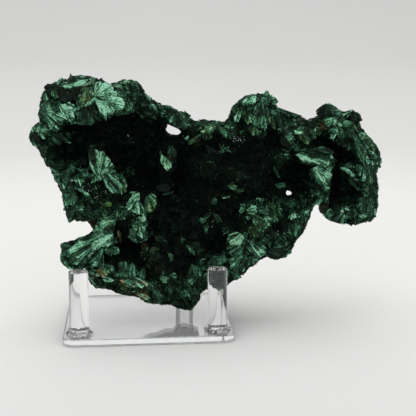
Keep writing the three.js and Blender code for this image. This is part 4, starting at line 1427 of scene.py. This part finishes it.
def studio_sweep():
    """A pale floor that curves up into the backdrop, painted darker in front and up the backdrop as painted
    shade.
    """
    profile = [(-FLOOR_FRONT, 0.0), (FLOOR_BACK, 0.0)]
    for k in range(1, SWEEP_STEPS + 1):
        angle = k * math.pi / 2 / SWEEP_STEPS
        profile.append((FLOOR_BACK + SWEEP_RADIUS * math.sin(angle),
                        SWEEP_RADIUS * (1 - math.cos(angle))))
    profile.append((FLOOR_BACK + SWEEP_RADIUS, SWEEP_HEIGHT))
    sides = (-FLOOR_WIDTH / 2, FLOOR_WIDTH / 2)
    vertices = [(x, y, z + FLOOR_LEVEL) for y, z in profile for x in sides]
    faces = [(2 * k, 2 * k + 1, 2 * k + 3, 2 * k + 2) for k in range(len(profile) - 1)]
    mesh = bpy.data.meshes.new("studio_sweep")
    mesh.from_pydata(vertices, [], faces)
    for polygon in mesh.polygons:
        polygon.use_smooth = True
    sweep = new_object("studio_sweep", mesh)
    material, nodes, links, shader = node_material("studio_paper")
    tone = noise_texture(nodes, links, 3, 2)
    paper = ramp(nodes, links, tone, [(0.3, (0.98, 0.98, 0.97)), (0.7, (1.0, 1.0, 0.99))])
    split = nodes.new("ShaderNodeSeparateXYZ")
    links.new(nodes["Place"].outputs["Object"], split.inputs[0])
    depth = maths(nodes, links, "MULTIPLY_ADD", split.outputs["Y"],
                  1 / FALLOFF_LENGTH, -FALLOFF_START / FALLOFF_LENGTH)
    # Painted shade: the paper's paleness falls off in front of the object and up the backdrop.
    painted_falloff = ramp(nodes, links, depth, [(at, (level,) * 3) for at, level in PAINTED_FALLOFF_LEVELS])
    links.new(blend_colour(nodes, links, 1.0, paper, painted_falloff, "MULTIPLY"), shader.inputs["Base Color"])
    shader.inputs["Roughness"].default_value = 0.9
    mesh.materials.append(material)


def aim(obj, place, target):
    """Puts a light or the camera in its place, looking at a point."""
    obj.location = place
    obj.rotation_euler = (Vector(target) - Vector(place)).to_track_quat("-Z", "Y").to_euler()


def soft_box(name, place, target, size, power):
    """A large area light aimed at a point."""
    light = bpy.data.lights.new(name, "AREA")
    light.shape = "RECTANGLE"
    light.size, light.size_y = size
    light.energy = power
    aim(new_object(name, light), place, target)


def studio_light():
    """Soft light from above, in front and behind, and a pale room all round."""
    world = bpy.data.worlds.new("studio")
    bpy.context.scene.world = world
    world.use_nodes = True
    background = world.node_tree.nodes["Background"]
    background.inputs["Color"].default_value = (1, 1, 1, 1)
    background.inputs["Strength"].default_value = 0.9
    middle = tuple(STONE_MIDDLE)
    soft_box("top_light", (-0.1, 0.1, 1.15), middle, (1.8, 1.2), 7.5)
    soft_box("left_light", (-0.8, -1.0, 0.3), middle, (0.8, 0.5), 2.6)
    soft_box("right_light", (0.8, -1.0, 0.35), middle, (0.8, 0.5), 2.2)
    soft_box("floor_light", (0.0, 0.9, 1.0), (0, 0.55, 0), (2.4, 0.5), 1.5)
    soft_box("back_strip", (0.0, 1.0, 0.33), (0, 0, 0), (2.0, 0.2), 0.8)


CAMERA_PLACE = (-0.00995, -0.45619, 0.14234)
CAMERA_TARGET = (0.03154, 0.0, 0.05893)
LENS, SENSOR = 78.8, 36.0


def photo_camera():
    """The camera, in front and a little above."""
    camera = bpy.data.cameras.new("camera")
    camera.lens = LENS
    camera.sensor_width = SENSOR
    camera.clip_start = 0.01
    obj = new_object("camera", camera)
    aim(obj, CAMERA_PLACE, CAMERA_TARGET)
    bpy.context.scene.camera = obj


# ------------------------------------------------------------------------------- build
bpy.context.scene.view_settings.view_transform = "Standard"
# Light that passes along inside the clear plate is reflected many times on the way.
bpy.context.scene.cycles.max_bounces = 32
bpy.context.scene.cycles.glossy_bounces = 24
bpy.context.scene.cycles.transmission_bounces = 24
photo_camera()
studio_sweep()
studio_light()

# The sheet's density is chosen for how pale its front edge looks.
stand(acrylic_material("clear_sheet", 0.0, 0.04, 90, 5.5),
      acrylic_material("clear_rod", 0.0, 0.04, 90, 0.8))
cement(acrylic_material("clear_cement", 0.05, 0.5, 900, 20.0))
grit()

velvet_material = malachite_material("malachite_velvet", 0.7, 0.02, 0.02)
fibre_material = malachite_material("malachite_fibre", 0.5, 0.06, 0.0)

body, points, edges, counts = smooth_body()
normals = normals_of(body.data, points)
velvet, clearance = velvet_mask(points), hole_clearance(points)
# Painted shade in hollows and painted light on lumps, for the fill sprays.
swell = hollow_shade_and_lump_light(points, edges, counts, normals)
body_tree = search_tree(body.data, points)
plates = plate_rows()
sprays = spray_rows()
fills = fill_rows(points, normals, velvet, clearance, swell, plates + sprays)
body_tree = grow_body(body, points, edges, counts, normals, velvet, clearance,
                      np.array(plates + sprays + fills))
body.data.materials.clear()
body.data.materials.append(velvet_material)
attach(body, "root")
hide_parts("malachite")

large = Gather()
for values in PLATES.values():
    plate(large, *values)
large.build("fibre_plates", fibre_material)

for number, share in enumerate((sprays, fills[::2], fills[1::2])):
    small = Gather()
    for row in share:
        spray(small, np.array(row), body_tree)
    small.build(f"fibre_sprays_{number + 1}", fibre_material)

loose = Gather()
for row in sprays + fills:
    loose_fibres(loose, np.array(row), FIBRES_EACH, body_tree)
loose.build("loose_fibres", fibre_material)

crystals = Gather()
for across, up, spread, count in SPARKLES:
    for _ in range(count):
        sparkle(crystals, across + rng.normal(0, spread * 0.5), up + rng.normal(0, spread * 0.5),
                body_tree)
crystals.build("crystals", crystal_material())

for piece in bpy.context.scene.objects:
    if piece.name.startswith(SPECIMEN_PIECES):
        keep_clear_of_pegs(piece)
